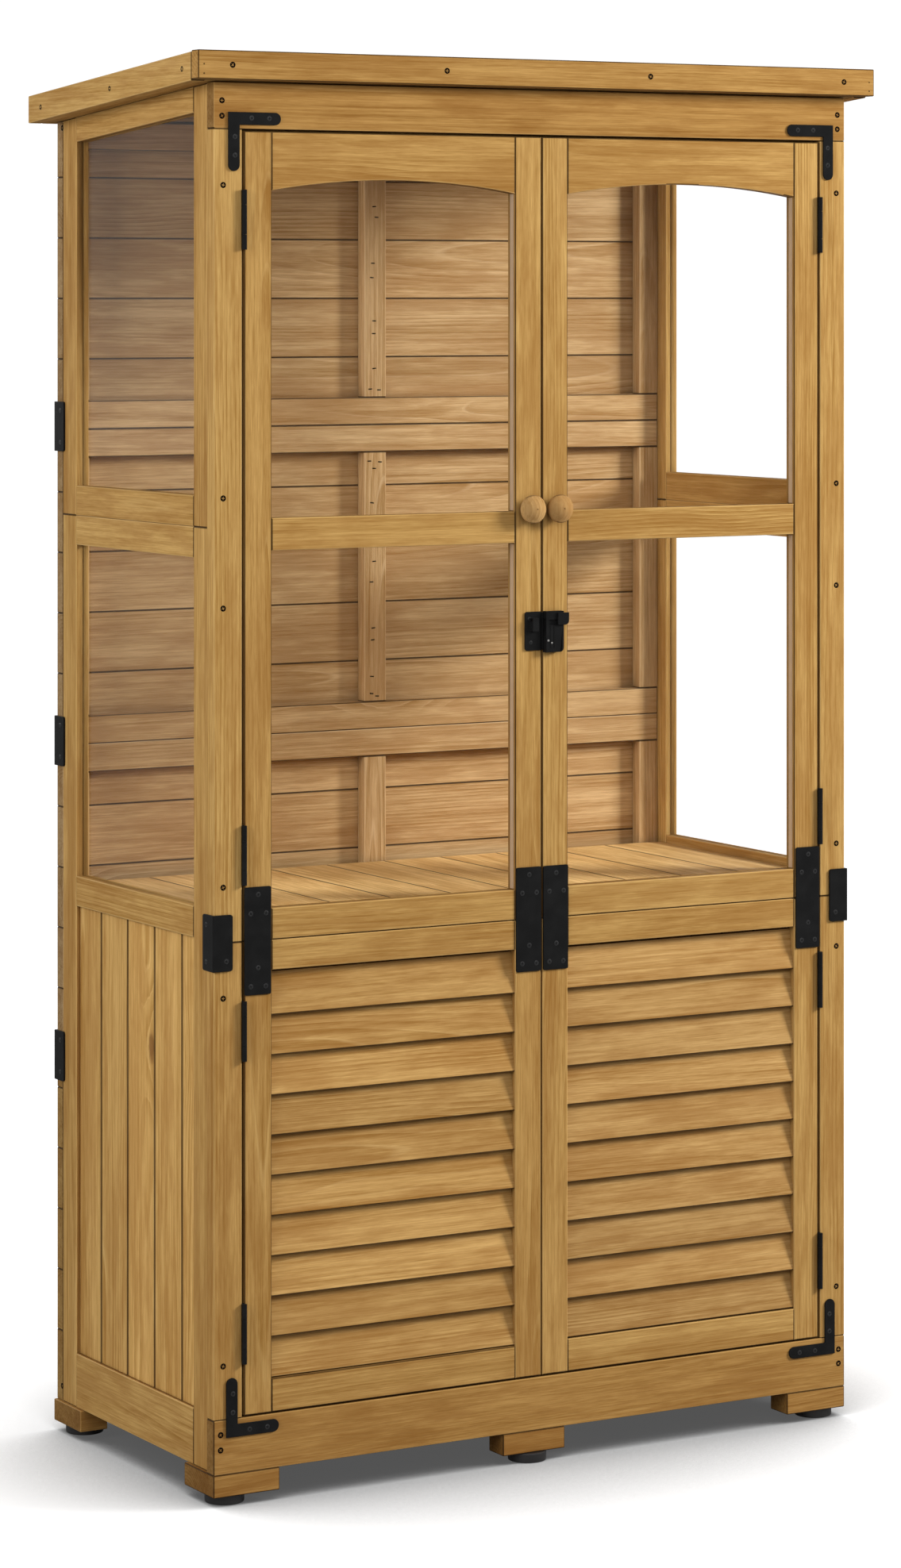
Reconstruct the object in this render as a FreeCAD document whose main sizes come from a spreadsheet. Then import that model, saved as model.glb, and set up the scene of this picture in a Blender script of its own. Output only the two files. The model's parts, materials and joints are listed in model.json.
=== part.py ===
import FreeCAD, Part
import Sketcher
import os

# A tall outdoor storage cabinet made of softwood boards, in millimetres.
# X runs along the front from left to right, Y runs from the front to the rear,
# Z is up. The origin is on the ground, under the centre of the whole cabinet.

doc = FreeCAD.newDocument("storage_cabinet")
sheet = doc.addObject("Spreadsheet::Sheet", "Dims")
sheet.Label = "Dims"

# Driving sizes: name, value. Each becomes an aliased cell of the sheet.
SIZES = (
    # whole cabinet
    ("overall_height", 1600.0),
    ("frame_width", 840.0),
    ("frame_depth", 412.0),
    ("board_thickness", 17.0),
    # feet
    ("glide_height", 11.0),
    ("glide_diameter", 44.0),
    ("glide_inset", 27.0),
    ("block_height", 25.0),
    ("block_length", 82.0),
    ("block_return", 72.0),
    ("block_leg", 35.0),
    ("middle_block_depth", 32.0),
    ("middle_block_offset", -10.0),
    # front frame
    ("base_board_height", 60.0),
    ("header_drop", 85.0),
    ("post_width", 35.0),
    ("post_joint_height", 620.0),
    # roof
    ("roof_drop", 34.6),
    ("roof_side_overhang", 29.0),
    ("roof_front_overhang", 20.0),
    ("roof_back_overhang", 9.5),
    ("fascia_height", 32.0),
    ("fascia_thickness", 17.0),
    ("rear_fascia_thickness", 9.0),
    ("roof_lip", 1.0),
    ("felt_thickness", 2.0),
    ("roof_board_thickness", 11.0),
    ("roof_batten_thickness", 17.0),
    ("roof_batten_width", 30.0),
    # side panels
    ("side_inset", 4.0),
    ("side_front_stile", 40.0),
    ("side_rear_stile", 36.0),
    ("side_joint_height", 1075.5),
    ("side_rail_height", 34.5),
    ("side_top_rail_height", 28.7),
    ("side_mid_rail_bottom", 620.0),
    ("side_mid_rail_height", 35.0),
    ("side_bottom_rail_height", 62.5),
    ("side_board_recess", 5.5),
    ("side_board_thickness", 10.0),
    ("side_first_board", 39.0),
    ("side_board_pitch", 69.2),
    ("side_pane_recess", 8.4),
    ("pane_thickness", 2.0),
    ("groove_depth", 5.0),
    # back panels
    ("back_board_thickness", 16.0),
    ("back_frame_thickness", 17.0),
    ("back_first_joint", 437.0),
    ("back_top_short", 8.86),
    ("back_rail_height", 33.0),
    ("back_first_board", 82.0),
    ("back_last_board", 74.0),
    ("back_bottom_last_board", 35.0),
    ("back_top_last_board", 65.1),
    ("back_batten_from_middle", 22.0),
    ("back_batten_width", 30.0),
    ("back_left_stile", 10.0),
    ("back_right_stile", 27.0),
    # shelf and floor
    ("shelf_top", 645.0),
    ("slat_thickness", 12.0),
    ("slat_start", 8.5),
    ("slat_end", 0.5),
    ("slat_gap", 1.0),
    ("slat_front_clearance", 3.0),
    ("bearer_height", 20.0),
    ("bearer_width", 30.0),
    # door stop
    ("stop_height", 30.0),
    ("stop_lap", 15.0),
    ("stop_thickness", 12.0),
    ("stop_clearance", 0.5),
    # doors
    ("door_side_gap", 3.0),
    ("door_centre_gap", 2.0),
    ("door_bottom_gap", 2.0),
    ("door_top_gap", 2.5),
    ("door_joint_gap", 1.0),
    ("door_stile_width", 34.0),
    ("lower_bottom_rail_height", 37.0),
    ("lower_top_rail_height", 33.2),
    ("upper_bottom_rail_height", 34.0),
    ("mid_rail_bottom", 1049.5),
    ("mid_rail_height", 36.0),
    ("arch_rail_height", 65.0),
    ("arch_rise", 13.0),
    ("door_pane_recess", 11.0),
    ("louvre_thickness", 6.0),
    ("louvre_width", 48.0),
    ("louvre_tilt", 10.5),
    ("louvre_setback", 1.5),
    ("louvre_clearance", 1.4),
    ("louvre_top_space", 6.6),
    ("louvre_socket_depth", 5.0),
    # hinges
    ("hinge_height", 66.0),
    ("hinge_bottom_rise", 90.5),
    ("hinge_under_joint", 98.5),
    ("hinge_over_joint", 95.0),
    ("hinge_top_drop", 97.5),
    ("hinge_barrel_radius", 2.75),
    ("hinge_pin_radius", 1.2),
    ("hinge_bore_radius", 1.4),
    ("hinge_axis_forward", 3.0),
    ("hinge_leaf_thickness", 1.2),
    ("hinge_leaf_depth", 14.0),
    ("hinge_knuckle_gap", 0.3),
    # plates, braces and brackets
    ("plate_width", 33.0),
    ("plate_height", 119.0),
    ("plate_thickness", 2.0),
    ("plate_corner", 2.0),
    ("keeper_corner", 3.0),
    ("hinge_plate_shift", 1.3),
    ("brace_leg", 65.0),
    ("brace_width", 13.8),
    ("brace_thickness", 2.0),
    ("brace_top_inset", 17.5),
    ("brace_top_rise", 18.3),
    ("brace_bottom_inset", 15.0),
    ("brace_bottom_drop", 19.5),
    ("bracket_leg", 25.0),
    ("bracket_thickness", 2.5),
    ("front_bracket_height", 62.0),
    ("rear_bracket_height", 58.0),
    ("rear_bracket_rise", 3.0),
    # knobs
    ("knob_depth", 21.0),
    ("knob_radius", 16.2),
    ("knob_face_radius", 10.0),
    ("knob_back", 8.0),
    ("knob_rim_front", 16.0),
    ("knob_neck_radius", 7.5),
    ("knob_height", 1088.0),
    # latch
    ("latch_bottom", 924.0),
    ("keeper_from_middle", 23.0),
    ("keeper_width", 21.5),
    ("keeper_height", 44.3),
    ("keeper_lift", 2.3),
    ("latch_plate_thickness", 2.0),
    ("latch_from_middle", 1.5),
    ("latch_width", 23.5),
    ("latch_height", 46.8),
    ("latch_depth", 8.0),
    ("bolt_width", 21.0),
    ("bolt_height", 11.0),
    ("bolt_thickness", 3.0),
    ("bolt_lift", 26.5),
    ("bolt_play", 0.5),
    ("bolt_travel", 12.0),
    ("tab_width", 14.5),
    ("tab_height", 14.0),
    ("tab_lift", 31.0),
    ("tab_thickness", 2.2),
    ("tab_reach", 5.5),
    ("tab_gap", 0.3),
    ("bolt_back_gap", 0.8),
    ("stem_width", 5.0),
    ("stem_drop", 6.0),
    ("stem_proud", 0.6),
    ("bridge_width", 8.0),
    ("bridge_thickness", 1.6),
    ("latch_corner", 5.0),
)

for row, (alias, value) in enumerate(SIZES, start=1):
    sheet.set("A%d" % row, alias)
    sheet.set("B%d" % row, str(value))
    sheet.setAlias("B%d" % row, alias)
doc.recompute()

W = "Dims.frame_width"
D = "Dims.frame_depth"
T = "Dims.board_thickness"
NODES = []

# The numbers that the sketcher gives its own origin and axes and the ends of a line.
SKETCH = {"origin": -1, "x axis": -1, "y axis": -2, "start": 1, "end": 2}

# The knobs reach furthest forward and the rear fascia furthest back.
FRONT_FACE = "(Dims.frame_depth + Dims.roof_back_overhang - Dims.knob_depth) / 2"


def put(obj, x, y, z):
    """Bind the place of one piece. x is measured from the left end of the front
    frame, y from the front face to the rear and z from the ground."""
    obj.setExpression("Placement.Base.x", "(%s) - Dims.frame_width / 2" % x)
    obj.setExpression("Placement.Base.y", "(%s) - %s" % (y, FRONT_FACE))
    obj.setExpression("Placement.Base.z", "%s" % z)
    return obj


def box(label, x, y, z, length, width, height):
    """A square-cut board or bar."""
    obj = doc.addObject("Part::Box", label)
    obj.Label = label
    obj.setExpression("Length", length)
    obj.setExpression("Width", width)
    obj.setExpression("Height", height)
    return put(obj, x, y, z)


def sloped(label, x, length, y_front, y_rear, bottom, top):
    """A board that runs from front to rear with its ends upright. bottom and top
    give the height at a distance from the front face."""
    obj = doc.addObject("Part::Wedge", label)
    obj.Label = label
    obj.setExpression("Xmax", length)
    obj.setExpression("X2max", length)
    obj.setExpression("Ymax", "(%s) - (%s)" % (y_rear, y_front))
    obj.setExpression("Zmin", bottom(y_front))
    obj.setExpression("Zmax", top(y_front))
    obj.setExpression("Z2min", bottom(y_rear))
    obj.setExpression("Z2max", top(y_rear))
    obj.Xmin = 0
    obj.X2min = 0
    obj.Ymin = 0
    return put(obj, x, y_front, "0")


def rod(label, x, y, z, radius, height, axis=None):
    """A round piece. Upright, or along Y from y to the rear."""
    obj = doc.addObject("Part::Cylinder", label)
    obj.Label = label
    obj.setExpression("Radius", radius)
    obj.setExpression("Height", height)
    if axis == "Y":
        obj.Placement.Rotation = FreeCAD.Rotation(FreeCAD.Vector(1, 0, 0), -90)
    if axis == "X":
        obj.Placement.Rotation = FreeCAD.Rotation(FreeCAD.Vector(0, 1, 0), 90)
    return put(obj, x, y, z)


def node(obj):
    NODES.append(obj)
    return obj


def group(label, pieces):
    obj = doc.addObject("Part::Compound", label)
    obj.Label = label
    obj.Links = pieces
    return node(obj)


def fuse(label, pieces):
    obj = doc.addObject("Part::MultiFuse", label)
    obj.Label = label
    obj.Shapes = pieces
    obj.Refine = True
    return obj


def cut(label, base, tool):
    obj = doc.addObject("Part::Cut", label)
    obj.Label = label
    obj.Base = base
    obj.Tool = tool
    return obj


def corners_of(which):
    """The edges of a box that run from front to rear, on its left, right or all."""
    numbers = {"left": [2, 4], "right": [6, 8], "all": [2, 4, 6, 8], "lower right": [8]}
    return numbers[which]


def rounded(label, base, edges, radius):
    """Round some edges of a board or plate. radius names the size in the sheet."""
    obj = doc.addObject("Part::Fillet", label)
    obj.Label = label
    obj.Base = base
    doc.recompute()
    value = sheet.get(radius)
    obj.Edges = [(number, value, value) for number in edges]
    return obj


def turned(label, x, z, profile):
    """A piece turned about an axis that stands out from the front face. profile
    lists (radius, distance from the face) from the middle of its back to the
    middle of its front."""
    sketch = doc.addObject("Sketcher::SketchObject", label + "_profile")
    sketch.Label = label + "_profile"
    origin = SKETCH["origin"]
    start = SKETCH["start"]
    end = SKETCH["end"]
    corners = []
    for radius, forward in profile:
        corners.append(FreeCAD.Vector(sheet.evalExpression(radius), sheet.evalExpression(forward), 0))
    count = len(corners)
    for index in range(count):
        sketch.addGeometry(Part.LineSegment(corners[index], corners[(index + 1) % count]))
    for index in range(count):
        sketch.addConstraint(Sketcher.Constraint("Coincident", index, end, (index + 1) % count, start))
    for index, (radius, forward) in enumerate(profile):
        places = (("DistanceX", SKETCH["y axis"], radius), ("DistanceY", SKETCH["x axis"], forward))
        for kind, axis, value in places:
            if value == "0":
                sketch.addConstraint(Sketcher.Constraint("PointOnObject", index, start, axis))
            else:
                size = sheet.evalExpression(value)
                number = sketch.addConstraint(Sketcher.Constraint(kind, origin, start, index, start, size))
                sketch.setExpression("Constraints[%d]" % number, value)
    obj = doc.addObject("Part::Revolution", label)
    obj.Label = label
    obj.Source = sketch
    obj.Axis = FreeCAD.Vector(0, 1, 0)
    obj.Angle = 360
    obj.Solid = True
    obj.Placement.Rotation = FreeCAD.Rotation(FreeCAD.Vector(0, 0, 1), 180)
    return put(obj, x, "0", z)


def grooved(members, insert):
    """Cut the seats of a pane, a panel or slats out of the members of a frame."""
    return [cut(member.Label + "_grooved", member, insert) for member in members]


def mirror_x(side, x, length):
    """The left edge of a piece that sits x from its own end of the front."""
    if side == "left":
        return x
    return "%s - (%s) - (%s)" % (W, x, length)


def level(number):
    """A plane at a constant height."""
    return lambda y: number


FELT_STACK = "(Dims.roof_lip + Dims.felt_thickness + Dims.roof_board_thickness)"
ROOF_STACK = "(%s + Dims.roof_batten_thickness)" % FELT_STACK


def roof_at(below):
    """Height of a plane parallel to the roof, a given amount under its top edge."""
    def height(y):
        run = "(Dims.frame_depth + Dims.roof_front_overhang + Dims.roof_back_overhang)"
        fall = "((%s) + Dims.roof_front_overhang) * Dims.roof_drop / %s" % (y, run)
        return "Dims.overall_height - %s - (%s)" % (fall, below)
    return height


BASE_BOTTOM = "(Dims.glide_height + Dims.block_height)"
BASE_TOP = "(Dims.glide_height + Dims.block_height + Dims.base_board_height)"
INNER = "(Dims.side_inset + Dims.board_thickness)"
BACK_FACE = "(Dims.frame_depth - Dims.back_board_thickness)"
BACK_INNER = "(Dims.frame_depth - Dims.back_board_thickness - Dims.back_frame_thickness)"
DOOR_BOTTOM = "(%s + Dims.door_bottom_gap)" % BASE_TOP
HEADER_BOTTOM = "(Dims.overall_height - Dims.header_drop)"
DOOR_TOP = "(%s - Dims.door_top_gap)" % HEADER_BOTTOM
DOOR_LEFT = "(Dims.post_width + Dims.door_side_gap)"
DOOR_WIDTH = "((Dims.frame_width - Dims.door_centre_gap) / 2 - Dims.post_width - Dims.door_side_gap)"
JOINT_LOW = "(Dims.post_joint_height - Dims.door_joint_gap / 2)"
JOINT_HIGH = "(Dims.post_joint_height + Dims.door_joint_gap / 2)"

# Front frame: a base board, a header and two posts, each post in two lengths.
node(box("base_board", "0", "0", BASE_BOTTOM, W, T, "Dims.base_board_height"))
HEADER_TOP = roof_at(ROOF_STACK)(T)
node(box("header_board", "0", "0", HEADER_BOTTOM, W, T, "(%s) - %s" % (HEADER_TOP, HEADER_BOTTOM)))
for side in ("left", "right"):
    x = mirror_x(side, "0", "Dims.post_width")
    node(box(side + "_lower_post", x, "0", BASE_TOP, "Dims.post_width", T,
             "Dims.post_joint_height - %s" % BASE_TOP))
    node(box(side + "_upper_post", x, "0", "Dims.post_joint_height", "Dims.post_width", T,
             "%s - Dims.post_joint_height" % HEADER_BOTTOM))

# Door stop: a batten behind the header. Its lower part is planed back to clear
# the doors that close against it.
stop_width = "%s - 2 * %s" % (W, INNER)
stop_low = "%s - Dims.stop_lap" % HEADER_BOTTOM
stop_blank = box("door_stop_blank", INNER, T, stop_low, stop_width, "Dims.stop_thickness", "Dims.stop_height")
stop_relief = box("door_stop_relief", INNER, T, stop_low, stop_width, "Dims.stop_clearance", "Dims.stop_lap")
node(cut("door_stop", stop_blank, stop_relief))

# Side panels: a framed upper panel under the sloping roof and a framed lower
# panel with a clear pane over upright boards. The panes and the boards sit in
# grooves of the frames.
SIDE_FRONT = T
STILE_BACK = "(Dims.board_thickness + Dims.side_front_stile)"
REAR_STILE = "(%s - Dims.side_rear_stile)" % BACK_FACE
SIDE_OPENING = "(%s - %s)" % (REAR_STILE, STILE_BACK)
GROOVE = "Dims.groove_depth"
for side in ("left", "right"):
    x = mirror_x(side, "Dims.side_inset", T)
    roof_under = roof_at(ROOF_STACK)
    rail_under = roof_at(ROOF_STACK + " + Dims.side_top_rail_height")
    joint = "Dims.side_joint_height"
    px = mirror_x(side, "Dims.side_inset + Dims.side_pane_recess", "Dims.pane_thickness")
    seat_front = "(%s - %s)" % (STILE_BACK, GROOVE)
    seat_rear = "(%s + %s)" % (REAR_STILE, GROOVE)
    upper_pane = node(sloped(side + "_side_upper_pane", px, "Dims.pane_thickness", seat_front, seat_rear,
                             level("%s + Dims.side_rail_height - %s" % (joint, GROOVE)),
                             roof_at("%s + Dims.side_top_rail_height - %s" % (ROOF_STACK, GROOVE))))
    group(side + "_side_upper_frame", grooved([
        sloped(side + "_upper_front_stile", x, T, SIDE_FRONT, STILE_BACK, level(joint), roof_under),
        sloped(side + "_upper_rear_stile", x, T, REAR_STILE, BACK_FACE, level(joint), roof_under),
        sloped(side + "_upper_top_rail", x, T, STILE_BACK, REAR_STILE, rail_under, roof_under),
        box(side + "_upper_bottom_rail", x, STILE_BACK, joint, T, SIDE_OPENING, "Dims.side_rail_height"),
    ], upper_pane))
    pane_bottom = "(Dims.side_mid_rail_bottom + Dims.side_mid_rail_height - %s)" % GROOVE
    lower_pane = node(box(side + "_side_lower_pane", px, seat_front, pane_bottom, "Dims.pane_thickness",
                          "%s - %s" % (seat_rear, seat_front),
                          "%s - Dims.side_rail_height + %s - %s" % (joint, GROOVE, pane_bottom)))
    recess = "Dims.side_inset + Dims.side_board_recess"
    bx = mirror_x(side, recess, "Dims.side_board_thickness")
    board_bottom = "(%s + Dims.side_bottom_rail_height - %s)" % (BASE_BOTTOM, GROOVE)
    board_height = "Dims.side_mid_rail_bottom + %s - %s" % (GROOVE, board_bottom)
    board_seat = box(side + "_side_board_seat", bx, seat_front, board_bottom, "Dims.side_board_thickness",
                     "%s - %s" % (seat_rear, seat_front), board_height)
    group(side + "_side_lower_frame", grooved([
        box(side + "_lower_front_stile", x, SIDE_FRONT, BASE_BOTTOM, T, "Dims.side_front_stile",
            "%s - %s" % (joint, BASE_BOTTOM)),
        box(side + "_lower_rear_stile", x, REAR_STILE, BASE_BOTTOM, T, "Dims.side_rear_stile",
            "%s - %s" % (joint, BASE_BOTTOM)),
        box(side + "_lower_top_rail", x, STILE_BACK, "%s - Dims.side_rail_height" % joint, T, SIDE_OPENING,
            "Dims.side_rail_height"),
        box(side + "_lower_mid_rail", x, STILE_BACK, "Dims.side_mid_rail_bottom", T, SIDE_OPENING,
            "Dims.side_mid_rail_height"),
        box(side + "_lower_bottom_rail", x, STILE_BACK, BASE_BOTTOM, T, SIDE_OPENING,
            "Dims.side_bottom_rail_height"),
    ], fuse(side + "_side_seats", [lower_pane, board_seat])))
    edges = [seat_front]
    for index in range(4):
        edges.append("(%s + Dims.side_first_board + %d * Dims.side_board_pitch)" % (STILE_BACK, index))
    edges.append(seat_rear)
    boards = []
    for index in range(5):
        start = edges[index]
        end = edges[index + 1]
        boards.append(box("%s_side_board_%d" % (side, index + 1), bx, start, board_bottom,
                          "Dims.side_board_thickness", "%s - %s" % (end, start), board_height))
    group(side + "_side_boards", boards)

# Back: four panels, one over another. Each has level boards outside and a frame
# of rails, stiles and one batten inside.
BACK_TOP = "(%s)" % roof_at(ROOF_STACK)(D)
BACK_PANEL = "((%s - Dims.back_first_joint + Dims.back_top_short) / 3)" % BACK_TOP
BACK_LEVELS = [BASE_BOTTOM, "Dims.back_first_joint", "(Dims.back_first_joint + %s)" % BACK_PANEL,
               "(Dims.back_first_joint + 2 * %s)" % BACK_PANEL, BACK_TOP]
BACK_PANELS = (
    ("back_bottom", 6, "Dims.back_bottom_last_board"),
    ("back_lower", 5, "Dims.back_last_board"),
    ("back_upper", 5, "Dims.back_last_board"),
    ("back_top", 5, "Dims.back_top_last_board"),
)
for index, (name, board_count, last_board) in enumerate(BACK_PANELS):
    low = BACK_LEVELS[index]
    high = BACK_LEVELS[index + 1]
    middle_boards = "(%s - %s - Dims.back_first_board - %s)" % (high, low, last_board)
    edges = [low]
    for count in range(board_count - 1):
        edges.append("(%s + Dims.back_first_board + %s * %d / %d)" % (
            low, middle_boards, count, board_count - 2))
    edges.append(high)
    boards = []
    for count in range(board_count):
        start = edges[count]
        end = edges[count + 1]
        boards.append(box("%s_board_%d" % (name, count + 1), "Dims.side_inset", BACK_FACE, start,
                          "%s - 2 * Dims.side_inset" % W, "Dims.back_board_thickness",
                          "%s - %s" % (end, start)))
    group(name + "_boards", boards)
    inside = "%s - 2 * %s" % (W, INNER)
    thick = "Dims.back_frame_thickness"
    rail = "Dims.back_rail_height"
    upright_z = "%s + %s" % (low, rail)
    upright_height = "%s - %s - 2 * %s" % (high, low, rail)
    right_stile = "%s - %s - Dims.back_right_stile" % (W, INNER)
    batten_x = "%s / 2 - Dims.back_batten_from_middle" % W
    group(name + "_frame", [
        box(name + "_bottom_rail", INNER, BACK_INNER, low, inside, thick, rail),
        box(name + "_top_rail", INNER, BACK_INNER, "%s - %s" % (high, rail), inside, thick, rail),
        box(name + "_left_stile", INNER, BACK_INNER, upright_z, "Dims.back_left_stile", thick,
            upright_height),
        box(name + "_right_stile", right_stile, BACK_INNER, upright_z, "Dims.back_right_stile", thick,
            upright_height),
        box(name + "_batten", batten_x, BACK_INNER, upright_z, "Dims.back_batten_width", thick,
            upright_height),
    ])

# Shelf and floor: slats that run from front to rear on three bearers each.
SLAT_FRONT = "(Dims.board_thickness + Dims.slat_front_clearance)"
SLAT_LENGTH = "%s - %s" % (BACK_INNER, SLAT_FRONT)
SLATS_ACROSS = 10
SLAT_SPREAD = "(%s - 2 * %s - Dims.slat_start - Dims.slat_end + Dims.slat_gap)" % (W, INNER)
SLAT_PITCH = "(%s / %d)" % (SLAT_SPREAD, SLATS_ACROSS)
bearers = []
for name, top in (("shelf", "Dims.shelf_top"), ("floor", BASE_TOP)):
    slats = []
    for index in range(SLATS_ACROSS):
        slats.append(box("%s_slat_%02d" % (name, index + 1),
                         "%s + Dims.slat_start + %d * %s" % (INNER, index, SLAT_PITCH), SLAT_FRONT,
                         "%s - Dims.slat_thickness" % top, "%s - Dims.slat_gap" % SLAT_PITCH, SLAT_LENGTH,
                         "Dims.slat_thickness"))
    group(name + "_slats", slats)
    places = ["%s + Dims.bearer_width / 2" % SLAT_FRONT,
              "(%s + %s - Dims.bearer_width) / 2" % (SLAT_FRONT, BACK_INNER),
              "%s - 2 * Dims.bearer_width" % BACK_INNER]
    for index, y in enumerate(places):
        bearers.append(box("%s_bearer_%d" % (name, index + 1), INNER, y,
                           "%s - Dims.slat_thickness - Dims.bearer_height" % top, "%s - 2 * %s" % (W, INNER),
                           "Dims.bearer_width", "Dims.bearer_height"))
group("slat_bearers", bearers)

# Roof: battens, boards and felt that fall to the rear, inside four fascia boards.
EAVE = "Dims.roof_side_overhang"
ROOF_FRONT = "(Dims.fascia_thickness - Dims.roof_front_overhang)"
ROOF_END = "(Dims.frame_depth + Dims.roof_back_overhang)"
ROOF_REAR = "(Dims.frame_depth + Dims.roof_back_overhang - Dims.rear_fascia_thickness)"
ROOF_LEFT = "(Dims.fascia_thickness - Dims.roof_side_overhang)"
ROOF_WIDTH = "(Dims.frame_width + 2 * Dims.roof_side_overhang - 2 * Dims.fascia_thickness)"
fascia_under = roof_at("Dims.fascia_height")
roof_top = roof_at("0")
node(box("front_fascia", "-%s" % EAVE, "-Dims.roof_front_overhang",
         "Dims.overall_height - Dims.fascia_height", "%s + 2 * %s" % (W, EAVE), "Dims.fascia_thickness",
         "Dims.fascia_height"))
for side in ("left", "right"):
    x = mirror_x(side, "-%s" % EAVE, "Dims.fascia_thickness")
    node(sloped(side + "_fascia", x, "Dims.fascia_thickness", ROOF_FRONT, ROOF_END, fascia_under, roof_top))
rear_top = "(%s)" % roof_top(ROOF_END)
node(box("rear_fascia", ROOF_LEFT, ROOF_REAR, "%s - Dims.fascia_height" % rear_top, ROOF_WIDTH,
         "Dims.rear_fascia_thickness", "Dims.fascia_height"))
batten_top = roof_at(FELT_STACK)
batten_under = roof_at(ROOF_STACK)
board_top = roof_at("Dims.roof_lip + Dims.felt_thickness")
felt_top = roof_at("Dims.roof_lip")
batten = "Dims.roof_batten_width"
side_batten = "(%s - %s)" % (INNER, ROOF_LEFT)
front_end = "(%s + %s)" % (ROOF_FRONT, batten)
rear_start = "(%s - %s)" % (ROOF_REAR, batten)
pieces = [
    sloped("roof_front_batten", ROOF_LEFT, ROOF_WIDTH, ROOF_FRONT, front_end, batten_under, batten_top),
    sloped("roof_rear_batten", ROOF_LEFT, ROOF_WIDTH, rear_start, ROOF_REAR, batten_under, batten_top),
]
for side in ("left", "right"):
    x = mirror_x(side, ROOF_LEFT, side_batten)
    pieces.append(sloped("roof_%s_batten" % side, x, side_batten, front_end, rear_start, batten_under,
                         batten_top))
for index in (1, 2):
    x = "%s * %d / 3 - %s / 2" % (W, index, batten)
    pieces.append(sloped("roof_middle_batten_%d" % index, x, batten, front_end, rear_start, batten_under,
                         batten_top))
group("roof_frame", pieces)
pieces = []
for index in range(5):
    start = "(%s + (%s - %s) * %d / 5)" % (ROOF_FRONT, ROOF_REAR, ROOF_FRONT, index)
    end = "(%s + (%s - %s) * %d / 5)" % (ROOF_FRONT, ROOF_REAR, ROOF_FRONT, index + 1)
    pieces.append(sloped("roof_board_%d" % (index + 1), ROOF_LEFT, ROOF_WIDTH, start, end, batten_top,
                         board_top))
group("roof_boards", pieces)
node(sloped("roof_felt", ROOF_LEFT, ROOF_WIDTH, ROOF_FRONT, ROOF_REAR, board_top, felt_top))

# Feet: an L-shaped block at each corner, a plain block at the middle of the
# front and of the rear, and a round glide under each block.
blocks = []
glides = []
for side in ("left", "right"):
    for end in ("front", "rear"):
        long_x = mirror_x(side, "0", "Dims.block_length")
        short_x = mirror_x(side, "0", "Dims.block_leg")
        long_y = "0" if end == "front" else "%s - Dims.block_leg" % D
        short_y = "Dims.block_leg" if end == "front" else "%s - Dims.block_return" % D
        blocks.append(fuse("%s_%s_block" % (side, end), [
            box("%s_%s_block_long" % (side, end), long_x, long_y, "Dims.glide_height", "Dims.block_length",
                "Dims.block_leg", "Dims.block_height"),
            box("%s_%s_block_short" % (side, end), short_x, short_y, "Dims.glide_height", "Dims.block_leg",
                "Dims.block_return - Dims.block_leg", "Dims.block_height"),
        ]))
        gx = "Dims.glide_inset" if side == "left" else "%s - Dims.glide_inset" % W
        gy = "Dims.glide_inset" if end == "front" else "%s - Dims.glide_inset" % D
        glides.append(rod("%s_%s_glide" % (side, end), gx, gy, "0", "Dims.glide_diameter / 2",
                          "Dims.glide_height"))
for end in ("front", "rear"):
    y = "0" if end == "front" else "%s - Dims.middle_block_depth" % D
    middle = "%s / 2 + Dims.middle_block_offset" % W
    blocks.append(box("middle_%s_block" % end, "%s - Dims.block_length / 2" % middle, y, "Dims.glide_height",
                      "Dims.block_length", "Dims.middle_block_depth", "Dims.block_height"))
    glides.append(rod("middle_%s_glide" % end, middle, "%s + Dims.middle_block_depth / 2" % y, "0",
                      "Dims.glide_diameter / 2", "Dims.glide_height"))
group("foot_blocks", blocks)
group("foot_glides", glides)

# Doors: an upper section with two clear panes under an arched rail and a lower
# section with sloping slats, joined by two plates. The panes sit in grooves and
# the slats in sockets of the stiles.
OPENING = "(%s - 2 * Dims.door_stile_width)" % DOOR_WIDTH
LOW_RAIL_TOP = "(%s + Dims.lower_bottom_rail_height)" % DOOR_BOTTOM
HIGH_RAIL_UNDER = "(%s - Dims.lower_top_rail_height)" % JOINT_LOW
STILE = "Dims.door_stile_width"
ARCH_RADIUS = "((%s) * (%s) / (8 * Dims.arch_rise) + Dims.arch_rise / 2)" % (OPENING, OPENING)
ARCH_TOP = "(%s - Dims.arch_rail_height + Dims.arch_rise)" % DOOR_TOP
SLATS = 10
KNOB = (
    ("0", "0"),
    ("Dims.knob_neck_radius", "0"),
    ("Dims.knob_neck_radius", "Dims.knob_back"),
    ("Dims.knob_radius", "Dims.knob_back"),
    ("Dims.knob_radius", "Dims.knob_rim_front"),
    ("Dims.knob_face_radius", "Dims.knob_depth"),
    ("0", "Dims.knob_depth"),
)
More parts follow.
